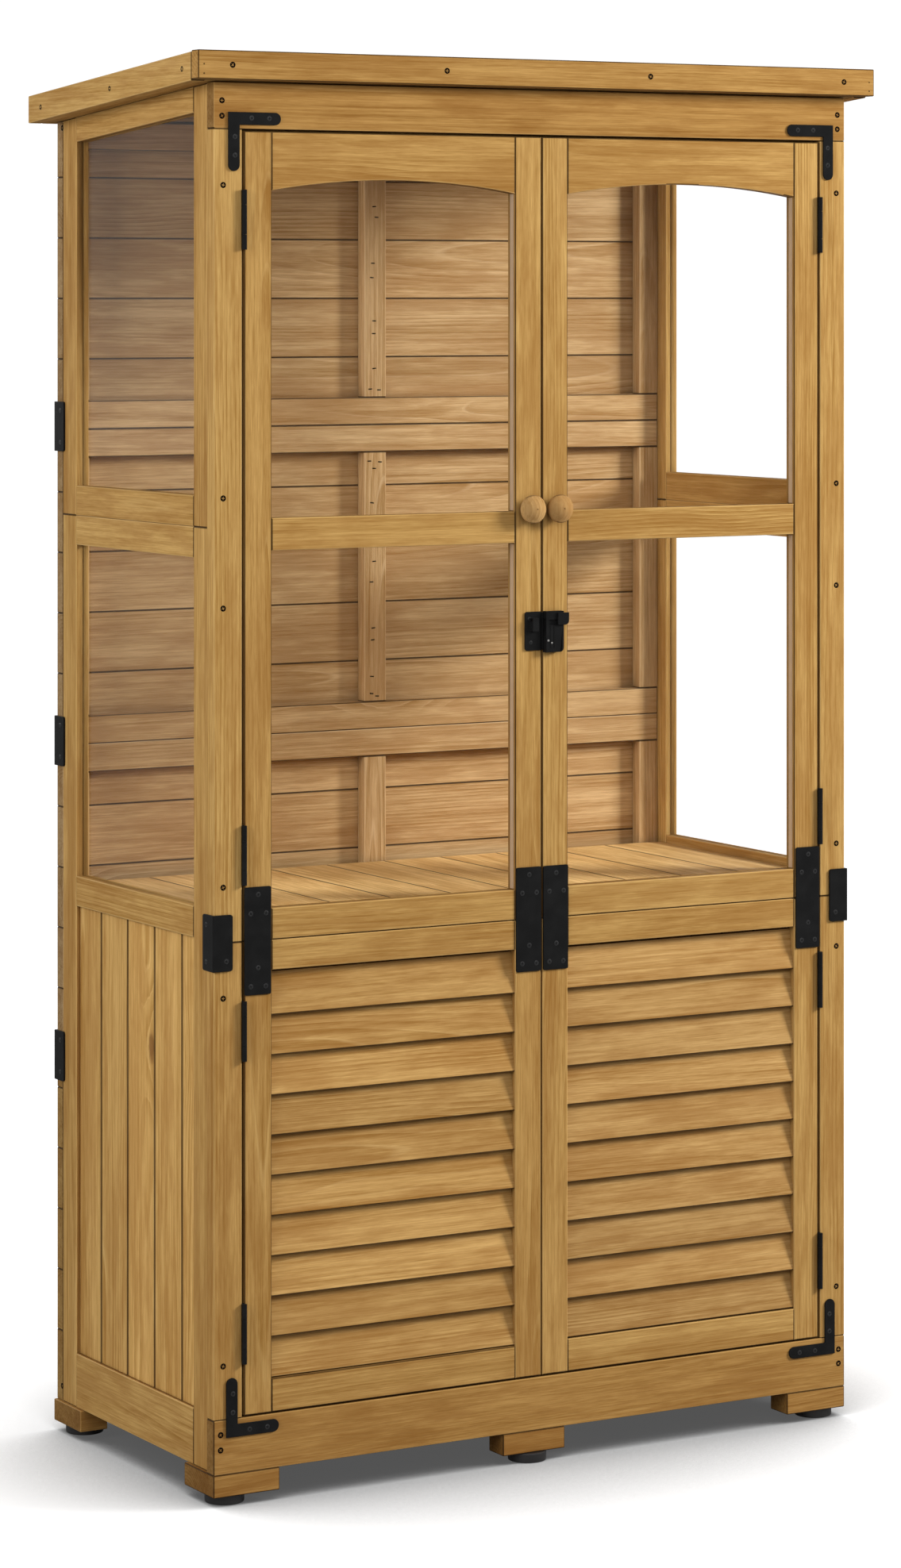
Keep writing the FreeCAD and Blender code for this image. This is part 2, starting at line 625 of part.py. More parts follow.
for side in ("left", "right"):
    near = DOOR_LEFT
    far = "(%s + %s - %s)" % (DOOR_LEFT, DOOR_WIDTH, STILE)
    hinge_x = mirror_x(side, near, STILE)
    meet_x = mirror_x(side, far, STILE)
    open_x = mirror_x(side, "%s + %s" % (near, STILE), OPENING)
    seat_width = "%s + 2 * %s" % (OPENING, GROOVE)
    seat_x = mirror_x(side, "%s + %s - %s" % (near, STILE, GROOVE), seat_width)
    pane_low = "(%s + Dims.upper_bottom_rail_height - %s)" % (JOINT_HIGH, GROOVE)
    pane_high = "(Dims.mid_rail_bottom + Dims.mid_rail_height - %s)" % GROOVE
    panes = group(side + "_door_panes", [
        box(side + "_low_pane", seat_x, "Dims.door_pane_recess", pane_low, seat_width, "Dims.pane_thickness",
            "Dims.mid_rail_bottom + %s - %s" % (GROOVE, pane_low)),
        box(side + "_high_pane", seat_x, "Dims.door_pane_recess", pane_high, seat_width,
            "Dims.pane_thickness", "%s + %s - %s" % (ARCH_TOP, GROOVE, pane_high)),
    ])
    group(side + "_door_upper_frame", grooved([
        box(side + "_upper_hinge_stile", hinge_x, "0", JOINT_HIGH, STILE, T,
            "%s - %s" % (DOOR_TOP, JOINT_HIGH)),
        box(side + "_upper_meeting_stile", meet_x, "0", JOINT_HIGH, STILE, T,
            "%s - %s" % (DOOR_TOP, JOINT_HIGH)),
        box(side + "_upper_door_rail", open_x, "0", JOINT_HIGH, OPENING, T, "Dims.upper_bottom_rail_height"),
        box(side + "_middle_door_rail", open_x, "0", "Dims.mid_rail_bottom", OPENING, T,
            "Dims.mid_rail_height"),
    ], panes))
    arch_box = box(side + "_arch_rail_blank", open_x, "0", "%s - Dims.arch_rail_height" % DOOR_TOP, OPENING,
                   T, "Dims.arch_rail_height")
    arch_round = rod(side + "_arch_rail_round", "%s + %s / 2" % (open_x, OPENING), "-%s" % T,
                     "%s - %s" % (ARCH_TOP, ARCH_RADIUS), ARCH_RADIUS, "3 * %s" % T, "Y")
    node(cut(side + "_door_arch_rail", cut(side + "_arch_rail_curved", arch_box, arch_round), panes))
    slats = []
    pitch = "((%s - %s - Dims.louvre_top_space) / %d)" % (HIGH_RAIL_UNDER, LOW_RAIL_TOP, SLATS)
    socket = "Dims.louvre_socket_depth"
    slat_x = mirror_x(side, "%s + %s - %s" % (near, STILE, socket), "%s + 2 * %s" % (OPENING, socket))
    for index in range(SLATS):
        name = "%s_louvre_%02d" % (side, index + 1)
        slat = box(name, slat_x, "Dims.louvre_setback",
                   "%s + Dims.louvre_clearance + %d * %s" % (LOW_RAIL_TOP, index, pitch),
                   "%s + 2 * %s" % (OPENING, socket), "Dims.louvre_thickness", "Dims.louvre_width")
        slat.Placement.Rotation = FreeCAD.Rotation(FreeCAD.Vector(-1, 0, 0), sheet.get("louvre_tilt"))
        slat.setExpression("Placement.Rotation.Angle", "Dims.louvre_tilt")
        slats.append(slat)
    louvres = group(side + "_door_louvres", slats)
    group(side + "_door_lower_frame", grooved([
        box(side + "_lower_hinge_stile", hinge_x, "0", DOOR_BOTTOM, STILE, T,
            "%s - %s" % (JOINT_LOW, DOOR_BOTTOM)),
        box(side + "_lower_meeting_stile", meet_x, "0", DOOR_BOTTOM, STILE, T,
            "%s - %s" % (JOINT_LOW, DOOR_BOTTOM)),
        box(side + "_lower_door_rail", open_x, "0", DOOR_BOTTOM, OPENING, T, "Dims.lower_bottom_rail_height"),
        box(side + "_joint_door_rail", open_x, "0", HIGH_RAIL_UNDER, OPENING, T,
            "Dims.lower_top_rail_height"),
    ], louvres))
    plates = []
    for name, base, shift in (("hinge", near, "Dims.hinge_plate_shift"), ("meeting", far, "0")):
        px = mirror_x(side, "%s + (%s - Dims.plate_width) / 2 - %s" % (base, STILE, shift),
                      "Dims.plate_width")
        plate = box("%s_%s_plate_blank" % (side, name), px, "-Dims.plate_thickness",
                    "Dims.post_joint_height - Dims.plate_height / 2", "Dims.plate_width",
                    "Dims.plate_thickness", "Dims.plate_height")
        plates.append(rounded("%s_%s_plate" % (side, name), plate, corners_of("all"), "plate_corner"))
    group(side + "_door_plates", plates)
    # knob: a turned head on a short neck, at the middle of the meeting stile
    knob_x = mirror_x(side, "%s + %s / 2" % (far, STILE), "0")
    node(turned(side + "_knob", knob_x, "Dims.knob_height", KNOB))

# Hinges: four butt hinges on each door. The end knuckles and the pin belong to
# the frame leaf, the long knuckle between them to the door leaf.
HINGES = (
    ("lowest", "(%s + Dims.hinge_bottom_rise)" % DOOR_BOTTOM),
    ("lower", "(Dims.post_joint_height - Dims.hinge_under_joint)"),
    ("upper", "(Dims.post_joint_height + Dims.hinge_over_joint)"),
    ("highest", "(%s - Dims.hinge_top_drop)" % DOOR_TOP),
)
AXIS_Y = "-Dims.hinge_axis_forward"
KNUCKLE = "(Dims.hinge_height / 4)"
frame_leaves = []
for side in ("left", "right"):
    gap_middle = "(Dims.post_width + Dims.door_side_gap / 2)"
    axis_x = gap_middle if side == "left" else "(%s - %s)" % (W, gap_middle)
    leaf = "Dims.hinge_leaf_thickness"
    frame_x = mirror_x(side, "Dims.post_width", leaf)
    door_x = mirror_x(side, "%s - %s" % (DOOR_LEFT, leaf), leaf)
    door_leaves = []
    for place, middle in HINGES:
        tag = "%s_%s" % (side, place)
        bottom = "(%s - Dims.hinge_height / 2)" % middle
        pieces = [box(tag + "_frame_leaf_flat", frame_x, "0", bottom, leaf, "Dims.hinge_leaf_depth",
                      "Dims.hinge_height")]
        pieces.append(rod(tag + "_pin", axis_x, AXIS_Y, bottom, "Dims.hinge_pin_radius", "Dims.hinge_height"))
        for index in (0, 3):
            z = "%s + %d * %s" % (bottom, index, KNUCKLE)
            pieces.append(rod("%s_frame_knuckle_%d" % (tag, index + 1), axis_x, AXIS_Y, z,
                              "Dims.hinge_barrel_radius", KNUCKLE))
            pieces.append(box("%s_frame_web_%d" % (tag, index + 1), frame_x, AXIS_Y, z, leaf,
                              "Dims.hinge_axis_forward", KNUCKLE))
        frame_leaves.append(fuse(tag + "_frame_leaf", pieces))
        pieces = [box(tag + "_door_leaf_flat", door_x, "0", bottom, leaf, "Dims.hinge_leaf_depth",
                      "Dims.hinge_height")]
        z = "%s + %s + Dims.hinge_knuckle_gap" % (bottom, KNUCKLE)
        height = "2 * %s - 2 * Dims.hinge_knuckle_gap" % KNUCKLE
        pieces.append(rod(tag + "_door_knuckle", axis_x, AXIS_Y, z, "Dims.hinge_barrel_radius", height))
        pieces.append(box(tag + "_door_web", door_x, AXIS_Y, z, leaf, "Dims.hinge_axis_forward", height))
        bore = rod(tag + "_bore", axis_x, AXIS_Y, bottom, "Dims.hinge_bore_radius", "Dims.hinge_height")
        door_leaves.append(cut(tag + "_door_leaf", fuse(tag + "_door_leaf_solid", pieces), bore))
    group(side + "_hinge_door_leaves", door_leaves)
group("hinge_frame_leaves", frame_leaves)

# Flat corner braces: L-shaped, with round ends, over the joints of the front frame.
braces = []
for side in ("left", "right"):
    for end in ("top", "bottom"):
        tag = "%s_%s_brace" % (side, end)
        width = "Dims.brace_width"
        leg = "Dims.brace_leg"
        run = "(%s - %s / 2)" % (leg, width)
        inset = "Dims.brace_%s_inset" % end
        flat_x = mirror_x(side, inset, run)
        up_x = mirror_x(side, inset, width)
        end_x = "(%s + %s)" % (inset, run)
        mid_x = "(%s + %s / 2)" % (inset, width)
        if side == "right":
            end_x = "(%s - %s)" % (W, end_x)
            mid_x = "(%s - %s)" % (W, mid_x)
        if end == "top":
            corner = "(%s + Dims.brace_top_rise)" % HEADER_BOTTOM
            flat_z = "%s - %s" % (corner, width)
            up_z = "%s - %s" % (corner, run)
            tip_z = up_z
        else:
            corner = "(%s - Dims.brace_bottom_drop)" % BASE_TOP
            flat_z = corner
            up_z = corner
            tip_z = "%s + %s" % (corner, run)
        thick = "Dims.brace_thickness"
        braces.append(fuse(tag, [
            box(tag + "_flat", flat_x, "-%s" % thick, flat_z, run, thick, width),
            box(tag + "_upright", up_x, "-%s" % thick, up_z, width, thick, run),
            rod(tag + "_flat_end", end_x, "-%s" % thick, "%s + %s / 2" % (flat_z, width), "%s / 2" % width,
                thick, "Y"),
            rod(tag + "_upright_end", mid_x, "-%s" % thick, tip_z, "%s / 2" % width, thick, "Y"),
        ]))
group("corner_braces", braces)

# Angle brackets: two around the front corners at the post joints and six around
# the rear corners at the joints of the back panels.
BRACKET = "Dims.bracket_leg"
THICK = "Dims.bracket_thickness"
fronts = []
rears = []
for side in ("left", "right"):
    tag = side + "_front_bracket"
    z = "Dims.post_joint_height - Dims.front_bracket_height / 2"
    height = "Dims.front_bracket_height"
    fronts.append(fuse(tag, [
        box(tag + "_face", mirror_x(side, "-%s" % THICK, BRACKET), "-%s" % THICK, z, BRACKET, THICK, height),
        box(tag + "_return", mirror_x(side, "-%s" % THICK, THICK), "-%s" % THICK, z, THICK, BRACKET, height),
    ]))
    for index in (1, 2, 3):
        tag = "%s_rear_bracket_%d" % (side, index)
        z = "%s + Dims.rear_bracket_rise - Dims.rear_bracket_height / 2" % BACK_LEVELS[index]
        height = "Dims.rear_bracket_height"
        out = "(Dims.side_inset - %s)" % THICK
        rears.append(fuse(tag, [
            box(tag + "_face", mirror_x(side, out, BRACKET), D, z, BRACKET, THICK, height),
            box(tag + "_return", mirror_x(side, out, THICK), "%s + %s - %s" % (D, THICK, BRACKET), z, THICK,
                BRACKET, height),
        ]))
group("front_angle_brackets", fronts)
group("rear_angle_brackets", rears)

# Latch: a keeper on the left door and a housing with a sliding bolt on the right.
# At rest the bolt is drawn back.
BOLT_Z = "(Dims.latch_bottom + Dims.bolt_lift)"
BOLT_BACK = "(Dims.latch_plate_thickness + Dims.bolt_back_gap)"
BOLT_FRONT = "(%s + Dims.bolt_thickness)" % BOLT_BACK
PLAY = "Dims.bolt_play"
KEEPER_X = "(%s / 2 - Dims.keeper_from_middle)" % W
LATCH_X = "(%s / 2 + Dims.latch_from_middle)" % W
keeper_mid = "(%s + Dims.keeper_width / 2)" % KEEPER_X
bridge = "Dims.bridge_width"
strap = "Dims.bridge_thickness"
bridge_x = "%s - %s / 2" % (keeper_mid, bridge)
reach = "(%s + %s + %s)" % (BOLT_FRONT, PLAY, strap)
keeper_blank = box("keeper_blank", KEEPER_X, "-Dims.latch_plate_thickness",
                   "Dims.latch_bottom + Dims.keeper_lift", "Dims.keeper_width", "Dims.latch_plate_thickness",
                   "Dims.keeper_height")
node(fuse("latch_keeper", [
    rounded("keeper_plate", keeper_blank, corners_of("left"), "keeper_corner"),
    box("keeper_low_leg", bridge_x, "-%s" % reach, "%s - %s - %s" % (BOLT_Z, PLAY, strap), bridge, reach,
        strap),
    box("keeper_high_leg", bridge_x, "-%s" % reach, "%s + Dims.bolt_height + %s" % (BOLT_Z, PLAY), bridge,
        reach, strap),
    box("keeper_strap", bridge_x, "-%s" % reach, "%s - %s - %s" % (BOLT_Z, PLAY, strap), bridge, strap,
        "Dims.bolt_height + 2 * %s + 2 * %s" % (PLAY, strap)),
]))
latch_blank = box("latch_blank", LATCH_X, "-Dims.latch_depth", "Dims.latch_bottom", "Dims.latch_width",
                  "Dims.latch_depth", "Dims.latch_height")
housing = rounded("latch_block", latch_blank, corners_of("lower right"), "latch_corner")
channel = box("latch_channel", "%s - %s" % (LATCH_X, PLAY), "-(%s + %s)" % (BOLT_FRONT, PLAY),
              "%s - %s" % (BOLT_Z, PLAY), "Dims.latch_width + 2 * %s" % PLAY,
              "Dims.bolt_thickness + 2 * %s" % PLAY, "Dims.bolt_height + 2 * %s" % PLAY)
STEM = "Dims.stem_width"
STEM_Z = "(%s + Dims.bolt_height - Dims.stem_drop)" % BOLT_Z
STEM_END = "(%s + Dims.bolt_width)" % LATCH_X
slot = box("latch_slot", "%s - %s - Dims.bolt_travel - %s" % (STEM_END, STEM, PLAY),
           "-Dims.latch_depth - %s" % PLAY, "%s - %s" % (STEM_Z, PLAY),
           "%s + Dims.bolt_travel + 2 * %s" % (STEM, PLAY), "Dims.latch_depth + %s - %s" % (PLAY, BOLT_BACK),
           "%s + 2 * %s" % (STEM, PLAY))
node(cut("latch_housing", housing, fuse("latch_hollow", [channel, slot])))
tab_blank = box("tab_blank", "%s + Dims.latch_width + Dims.tab_reach - Dims.tab_width" % LATCH_X,
                "-Dims.latch_depth - Dims.tab_gap - Dims.tab_thickness", "Dims.latch_bottom + Dims.tab_lift",
                "Dims.tab_width", "Dims.tab_thickness", "Dims.tab_height")
node(fuse("latch_bolt", [
    box("bolt_bar", "%s + %s" % (LATCH_X, PLAY), "-%s" % BOLT_FRONT, BOLT_Z,
        "Dims.bolt_width - %s" % PLAY, "Dims.bolt_thickness", "Dims.bolt_height"),
    box("bolt_stem", "%s - %s" % (STEM_END, STEM), "-Dims.latch_depth - Dims.stem_proud", STEM_Z, STEM,
        "Dims.latch_depth + Dims.stem_proud - %s" % BOLT_BACK, STEM),
    rounded("bolt_tab", tab_blank, corners_of("lower right"), "latch_corner"),
]))

doc.recompute()

for obj in doc.Objects:
    if "Invalid" in obj.State or "Error" in obj.State:
        raise SystemExit("failed: %s %s" % (obj.Name, obj.State))
labels = set()
for obj in NODES:
    if obj.Shape.isNull() or not obj.Shape.isValid():
        raise SystemExit("bad shape: %s" % obj.Label)
    if obj.Label in labels:
        raise SystemExit("label used twice: %s" % obj.Label)
    labels.add(obj.Label)

os.makedirs("parts", exist_ok=True)
total = 0
for obj in NODES:
    obj.Shape.exportStep("parts/%s.step" % obj.Label)
    size = obj.Shape.BoundBox
    total += len(obj.Shape.Solids)
    print("%-26s %3d solids  x %8.2f %8.2f  y %8.2f %8.2f  z %8.2f %8.2f" % (
        obj.Label, len(obj.Shape.Solids), size.XMin, size.XMax, size.YMin, size.YMax, size.ZMin, size.ZMax))
print(len(NODES), "sub-parts,", total, "solids")
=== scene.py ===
"""Looks of the garden storage cabinet. It is laid out as an add-on and run as a script.

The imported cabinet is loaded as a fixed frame. Each wooden node is copied, its boards
get eased arrises and a grain of their own, the hardware gets rounded edges and screws,
and the knobs are turned anew. Sizes are in metres.
"""

import json
import math
import random

import bmesh
import bpy
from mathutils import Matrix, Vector

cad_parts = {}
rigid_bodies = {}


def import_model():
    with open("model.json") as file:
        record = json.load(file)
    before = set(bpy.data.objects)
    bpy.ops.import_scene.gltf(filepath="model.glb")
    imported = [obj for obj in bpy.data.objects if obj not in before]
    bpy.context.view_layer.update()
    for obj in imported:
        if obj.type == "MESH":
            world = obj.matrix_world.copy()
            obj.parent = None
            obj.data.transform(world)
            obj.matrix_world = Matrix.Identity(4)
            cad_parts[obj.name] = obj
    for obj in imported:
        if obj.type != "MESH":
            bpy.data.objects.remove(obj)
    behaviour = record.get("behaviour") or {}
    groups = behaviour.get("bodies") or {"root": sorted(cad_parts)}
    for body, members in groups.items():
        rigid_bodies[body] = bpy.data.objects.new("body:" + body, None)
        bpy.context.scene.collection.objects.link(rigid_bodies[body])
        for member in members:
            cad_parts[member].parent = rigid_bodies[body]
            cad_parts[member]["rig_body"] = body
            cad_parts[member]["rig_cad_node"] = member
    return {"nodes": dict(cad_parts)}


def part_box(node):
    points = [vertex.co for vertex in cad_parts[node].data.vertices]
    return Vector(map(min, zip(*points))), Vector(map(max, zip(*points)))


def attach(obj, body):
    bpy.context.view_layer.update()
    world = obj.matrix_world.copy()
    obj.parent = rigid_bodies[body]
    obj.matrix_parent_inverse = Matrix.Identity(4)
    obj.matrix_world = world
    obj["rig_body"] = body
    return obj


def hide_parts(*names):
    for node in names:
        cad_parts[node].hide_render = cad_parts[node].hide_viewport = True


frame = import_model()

bl_info = {
    "name": "Garden storage cabinet",
    "version": (1, 0, 0),
    "blender": (4, 5, 0),
    "location": "View3D > Sidebar > Cabinet",
    "description": "Boards, hardware, panes and finishes of a tall garden storage cabinet",
    "category": "Add Mesh",
}

MM = 0.001
FACE_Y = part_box("base_board")[0].y
LEFT_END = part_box("base_board")[0].x
RIGHT_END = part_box("base_board")[1].x
MERGE = 0.000001
NEAR = 0.00001
SHARP = math.radians(30)
ROUND = math.radians(40)
SIDES = ("left", "right")
ARRIS_SLOT = 1


def srgb(red, green, blue):
    """A colour as picked from a screen, 0 to 255, in the linear values that Blender uses."""
    linear = []
    for value in (red, green, blue):
        value = value / 255
        linear.append(value / 12.92 if value <= 0.04045 else ((value + 0.055) / 1.055) ** 2.4)
    return tuple(linear)


def length(name, description, default):
    """A length that a user may change."""
    return bpy.props.FloatProperty(name=name, description=description, default=default, unit="LENGTH")


def tint(name, description, *screen):
    """A colour that a user may change, given as picked from a screen."""
    return bpy.props.FloatVectorProperty(
        name=name, description=description, default=srgb(*screen), subtype="COLOR"
    )


class CabinetSizes(bpy.types.PropertyGroup):
    """Sizes of the details that are modelled here."""

    arris: length("Arris", "How far the edges of the frame boards are eased", 1.2 * MM)
    board_arris: length("Board arris", "How far the edges of the back boards and slats are eased", 1.1 * MM)
    side_board_arris: length("Side board chamfer", "Chamfer where two boards of a side meet", 2.4 * MM)
    pane_edge: length("Pane edge", "How far the edges of the clear panes are polished round", 0.3 * MM)
    metal_edge: length("Metal edge", "How far the edges of plates and brackets are rounded", 0.4 * MM)
    bracket_corner: length("Bracket corner", "Radius of the corners of the angle brackets", 3.0 * MM)
    wood_screw: length("Wood screw radius", "Radius of a screw head in the boards", 3.4 * MM)
    metal_screw: length("Plate screw radius", "Radius of a screw head in plates and brackets", 2.9 * MM)
    nail: length("Nail radius", "Radius of a nail head at the ends of the front fascia", 0.9 * MM)
    ring_width: length("Ring width", "Distance between two growth rings of the wood", 4.2 * MM)
    camera_place: bpy.props.FloatVectorProperty(
        name="Camera place",
        description="Where the camera stands",
        default=(-2.70729, -4.68482, 1.33092),
        subtype="TRANSLATION",
        unit="LENGTH",
    )
    camera_turn: bpy.props.FloatProperty(
        name="Camera turn",
        description="How far the camera is turned from the view straight at the front",
        default=math.radians(29.98),
        subtype="ANGLE",
        unit="ROTATION",
    )


class CabinetColours(bpy.types.PropertyGroup):
    """Colours of the finishes."""

    wood_light: tint("Early wood", "Stained wood between the growth rings", 208, 167, 101)
    wood_dark: tint("Late wood", "Stained wood along the growth rings", 160, 117, 57)
    # This pale is also the painted highlight on the arrises.
    wood_pale: tint("Ring edge", "Thin pale line where a ring starts, and worn arrises", 224, 187, 122)
    stain: tint("Heavy stain", "Where the stain has soaked in more", 148, 100, 43)
    knot: tint("Knots", "Knots of the stained wood", 112, 72, 34)
    # The joint colour is also the painted shade in corners and joints.
    joint_and_shade: tint("Joints", "Dark line where two boards meet", 44, 27, 12)
    knob_light: tint("Knob early wood", "Lighter wood of the knobs", 200, 162, 108)
    knob_dark: tint("Knob late wood", "Darker wood of the knobs", 176, 136, 84)
    black_metal: tint("Black metal", "Powder-coated hinges, plates and brackets", 22, 22, 22)
    black_plastic: tint("Black plastic", "Glides under the feet", 26, 25, 25)
    screw_brown: tint("Screws", "Screws and staples in the boards", 20, 13, 9)
    steel: tint("Steel", "Bare steel of the latch rivets", 190, 188, 182)
    pane: tint("Panes", "Tint of the clear panes", 255, 255, 255)
    bead: tint("Pane beads", "Thin plastic beads beside the panes of the doors", 212, 182, 148)
    felt: tint("Roof felt", "Mineral surface of the roof felt", 72, 74, 72)


def sizes():
    return bpy.context.scene.cabinet_sizes


def colours():
    return bpy.context.scene.cabinet_colours


# Modelling steps


def deselect():
    bpy.ops.object.select_all(action="DESELECT")


def pick(piece):
    """Select one piece alone and make it the active one."""
    deselect()
    piece.select_set(True)
    bpy.context.view_layer.objects.active = piece


def rename(piece, name):
    piece.name = name
    piece.data.name = name
    return piece


def settle(name):
    """Name the new primitive and move its place into its mesh."""
    bpy.ops.object.transform_apply(location=True, rotation=True, scale=True)
    return rename(bpy.context.object, name)


def block(name, low, high):
    """A box between two corners, the start of a plate or bar."""
    low = Vector(low)
    high = Vector(high)
    deselect()
    bpy.ops.mesh.primitive_cube_add(size=1, location=(low + high) / 2, scale=high - low)
    return settle(name)


def edit_with(piece, kind, chosen):
    """Enter edit mode with only the edges or faces selected that pass a test."""
    pick(piece)
    bpy.ops.object.mode_set(mode="EDIT")
    bpy.ops.mesh.select_mode(type=kind)
    bpy.ops.mesh.select_all(action="DESELECT")
    shape = bmesh.from_edit_mesh(piece.data)
    shape.verts.index_update()
    for item in shape.edges if kind == "EDGE" else shape.faces:
        if chosen(item):
            item.select_set(True)
    shape.select_flush_mode()
    bmesh.update_edit_mesh(piece.data)


def leave_edit():
    bpy.ops.object.mode_set(mode="OBJECT")


def modify(piece, kind, **settings):
    """Add a modifier with these settings and apply it."""
    pick(piece)
    bpy.ops.object.modifier_add(type=kind)
    modifier = piece.modifiers[-1]
    for name, value in settings.items():
        setattr(modifier, name, value)
    bpy.ops.object.modifier_apply(modifier=modifier.name)


def arris_slots(piece):
    """Two empty material slots. The second one marks the eased arrises."""
    piece.data.materials.clear()
    piece.data.materials.append(None)
    piece.data.materials.append(None)


def ease(piece, width, segments=2, angle=30):
    """Ease every sharp edge of a piece."""
    arris_slots(piece)
    modify(piece, "BEVEL", width=width, segments=segments, limit_method="ANGLE",
           angle_limit=math.radians(angle), material=ARRIS_SLOT)


def ease_faces(piece, width, axis):
    """Ease the arrises of the two faces that each board has across an axis. Grooves
    and sockets, which lie between the faces, stay sharp."""
    arris_slots(piece)
    reach = {}
    for part in loose_parts(piece.data):
        values = [piece.data.vertices[index].co[axis] for index in part]
        for index in part:
            reach[index] = (min(values), max(values))

    def on_face(edge):
        start, end = edge.verts
        low, high = reach[start.index]
        level = abs(start.co[axis] - end.co[axis]) < NEAR
        outside = min(abs(start.co[axis] - low), abs(start.co[axis] - high)) < NEAR
        return level and outside and edge.calc_face_angle(0) > SHARP

    edit_with(piece, "EDGE", on_face)
    bpy.ops.mesh.bevel(offset=width, segments=2, affect="EDGES", material=ARRIS_SLOT)
    leave_edit()


def smooth(piece):
    """Shade the rounded edges smooth and keep the flat faces flat."""
    pick(piece)
    bpy.ops.object.shade_smooth_by_angle(angle=ROUND)
    modify(piece, "WEIGHTED_NORMAL", keep_sharp=True)


def joined(name, pieces):
    """Several pieces as one."""
    deselect()
    for piece in pieces:
        piece.select_set(True)
    bpy.context.view_layer.objects.active = pieces[0]
    bpy.ops.object.join()
    return rename(bpy.context.object, name)


def copy_at(piece, shift, turn=(0, 0, 0)):
    """A copy with its own mesh, turned about the origin and then moved."""
    pick(piece)
    bpy.ops.object.duplicate(linked=False)
    copy = bpy.context.object
    copy.rotation_euler = turn
    copy.location = shift
    bpy.ops.object.transform_apply(location=True, rotation=True, scale=True)
    return copy


def remove(piece):
    pick(piece)
    bpy.ops.object.delete()


def turned(name, profile, steps=48):
    """A round piece that stands out from the origin towards the front. The profile
    lists (radius, distance forward); its points are extruded and then spun."""
    deselect()
    bpy.ops.mesh.primitive_plane_add(size=MM)
    piece = settle(name)
    bpy.ops.object.mode_set(mode="EDIT")
    bpy.ops.mesh.select_mode(type="VERT")
    bpy.ops.mesh.select_all(action="SELECT")
    bpy.ops.mesh.merge(type="CENTER")
    last = Vector((0, 0, 0))
    for number, (radius, forward) in enumerate(profile):
        point = Vector((radius, -forward, 0))
        if number == 0:
            bpy.ops.transform.translate(value=point - last)
        else:
            bpy.ops.mesh.extrude_vertices_move(TRANSFORM_OT_translate={"value": point - last})
        last = point
    bpy.ops.mesh.select_all(action="SELECT")
    bpy.ops.mesh.spin(steps=steps, angle=math.tau, center=(0, 0, 0), axis=(0, 1, 0))
    bpy.ops.mesh.select_all(action="SELECT")
    bpy.ops.mesh.remove_doubles(threshold=MERGE)
    bpy.ops.mesh.normals_make_consistent(inside=False)
    leave_edit()
    return piece


def number_solids(mesh):
    """Number the triangles of a CAD mesh by the solid they belong to. A solid ends
    where each of its edges has met its neighbour."""
    corners = [tuple(round(value, 6) for value in vertex.co) for vertex in mesh.vertices]
    attribute = mesh.attributes.new("solid", "INT", "FACE")
    waiting = set()
    number = 0
    for face in mesh.polygons:
        attribute.data[face.index].value = number
        points = [corners[index] for index in face.vertices]
        for start, end in zip(points, points[1:] + points[:1]):
            if (end, start) in waiting:
                waiting.discard((end, start))
            else:
                waiting.add((start, end))
        if not waiting:
            number += 1
    return number


def copy_node(node, name, flat=0.4):
    """A copy of a CAD node with its triangles merged, solid by solid, into flat faces."""
    pick(frame["nodes"][node])
    bpy.ops.object.duplicate(linked=False)
    bpy.ops.object.parent_clear(type="CLEAR_KEEP_TRANSFORM")
    piece = rename(bpy.context.object, name)
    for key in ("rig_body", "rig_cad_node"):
        del piece[key]
    piece.data.materials.clear()
    count = number_solids(piece.data)
    bpy.ops.object.mode_set(mode="EDIT")
    bpy.ops.mesh.select_mode(type="FACE")
    for number in range(count):
        bpy.ops.mesh.select_all(action="DESELECT")
        shape = bmesh.from_edit_mesh(piece.data)
        layer = shape.faces.layers.int["solid"]
        for face in shape.faces:
            if face[layer] == number:
                face.select_set(True)
        bmesh.update_edit_mesh(piece.data)
        bpy.ops.mesh.remove_doubles(threshold=MERGE)
    bpy.ops.mesh.select_all(action="SELECT")
    bpy.ops.mesh.dissolve_limited(angle_limit=math.radians(flat))
    leave_edit()
    piece.data.attributes.remove(piece.data.attributes["solid"])
    return piece


def loose_parts(mesh):
    """The vertices of each board, as lists of indices."""
    near = [[] for vertex in mesh.vertices]
    for edge in mesh.edges:
        start, end = edge.vertices
        near[start].append(end)
        near[end].append(start)
    seen = [False] * len(near)
    parts = []
    for first in range(len(near)):
        if seen[first]:
            continue
        seen[first] = True
        part = [first]
        for index in part:
            for other in near[index]:
                if not seen[other]:
                    seen[other] = True
                    part.append(other)
        parts.append(part)
    return parts


def corners(mesh, part):
    """The lowest and highest corner of some vertices."""
    points = [mesh.vertices[index].co for index in part]
    low = Vector([min(point[axis] for point in points) for axis in range(3)])
    high = Vector([max(point[axis] for point in points) for axis in range(3)])
    return low, high


def boxes_of(piece):
    """The lowest and highest corner of each loose part."""
    return [corners(piece.data, part) for part in loose_parts(piece.data)]


# Where a board lay in its trunk: how far from the pith and at what angle from it, how
# far along the trunk, and how much out of line with it.
PITH_NEAR = 0.015
PITH_FAR = 0.085
PITH_ANGLE = 0.15
TRUNK_LENGTH = 40.0
TRUNK_LEAN = 0.03
TONE_SPREAD = 0.04
# A darker level, of stain or of painted shade, is also a warmer one: the powers of the level for red, green
# and blue.
STAIN_AND_SHADE_POWERS = (0.7, 1.0, 1.35)
# A face is end grain when its normal lies along the board by more than this.
END_FACE = 0.8
# An arris is pale, as wear and as a painted highlight, and dark where it lies near another board, as a dark
# joint with painted shade in it.
ARRIS = 1.0
JOINT = -1.0
# Boards that other nodes of the front meet.
FRONT_BOARDS = ("base_board", "header_board", "left_lower_post", "left_upper_post",
                "right_lower_post", "right_upper_post")
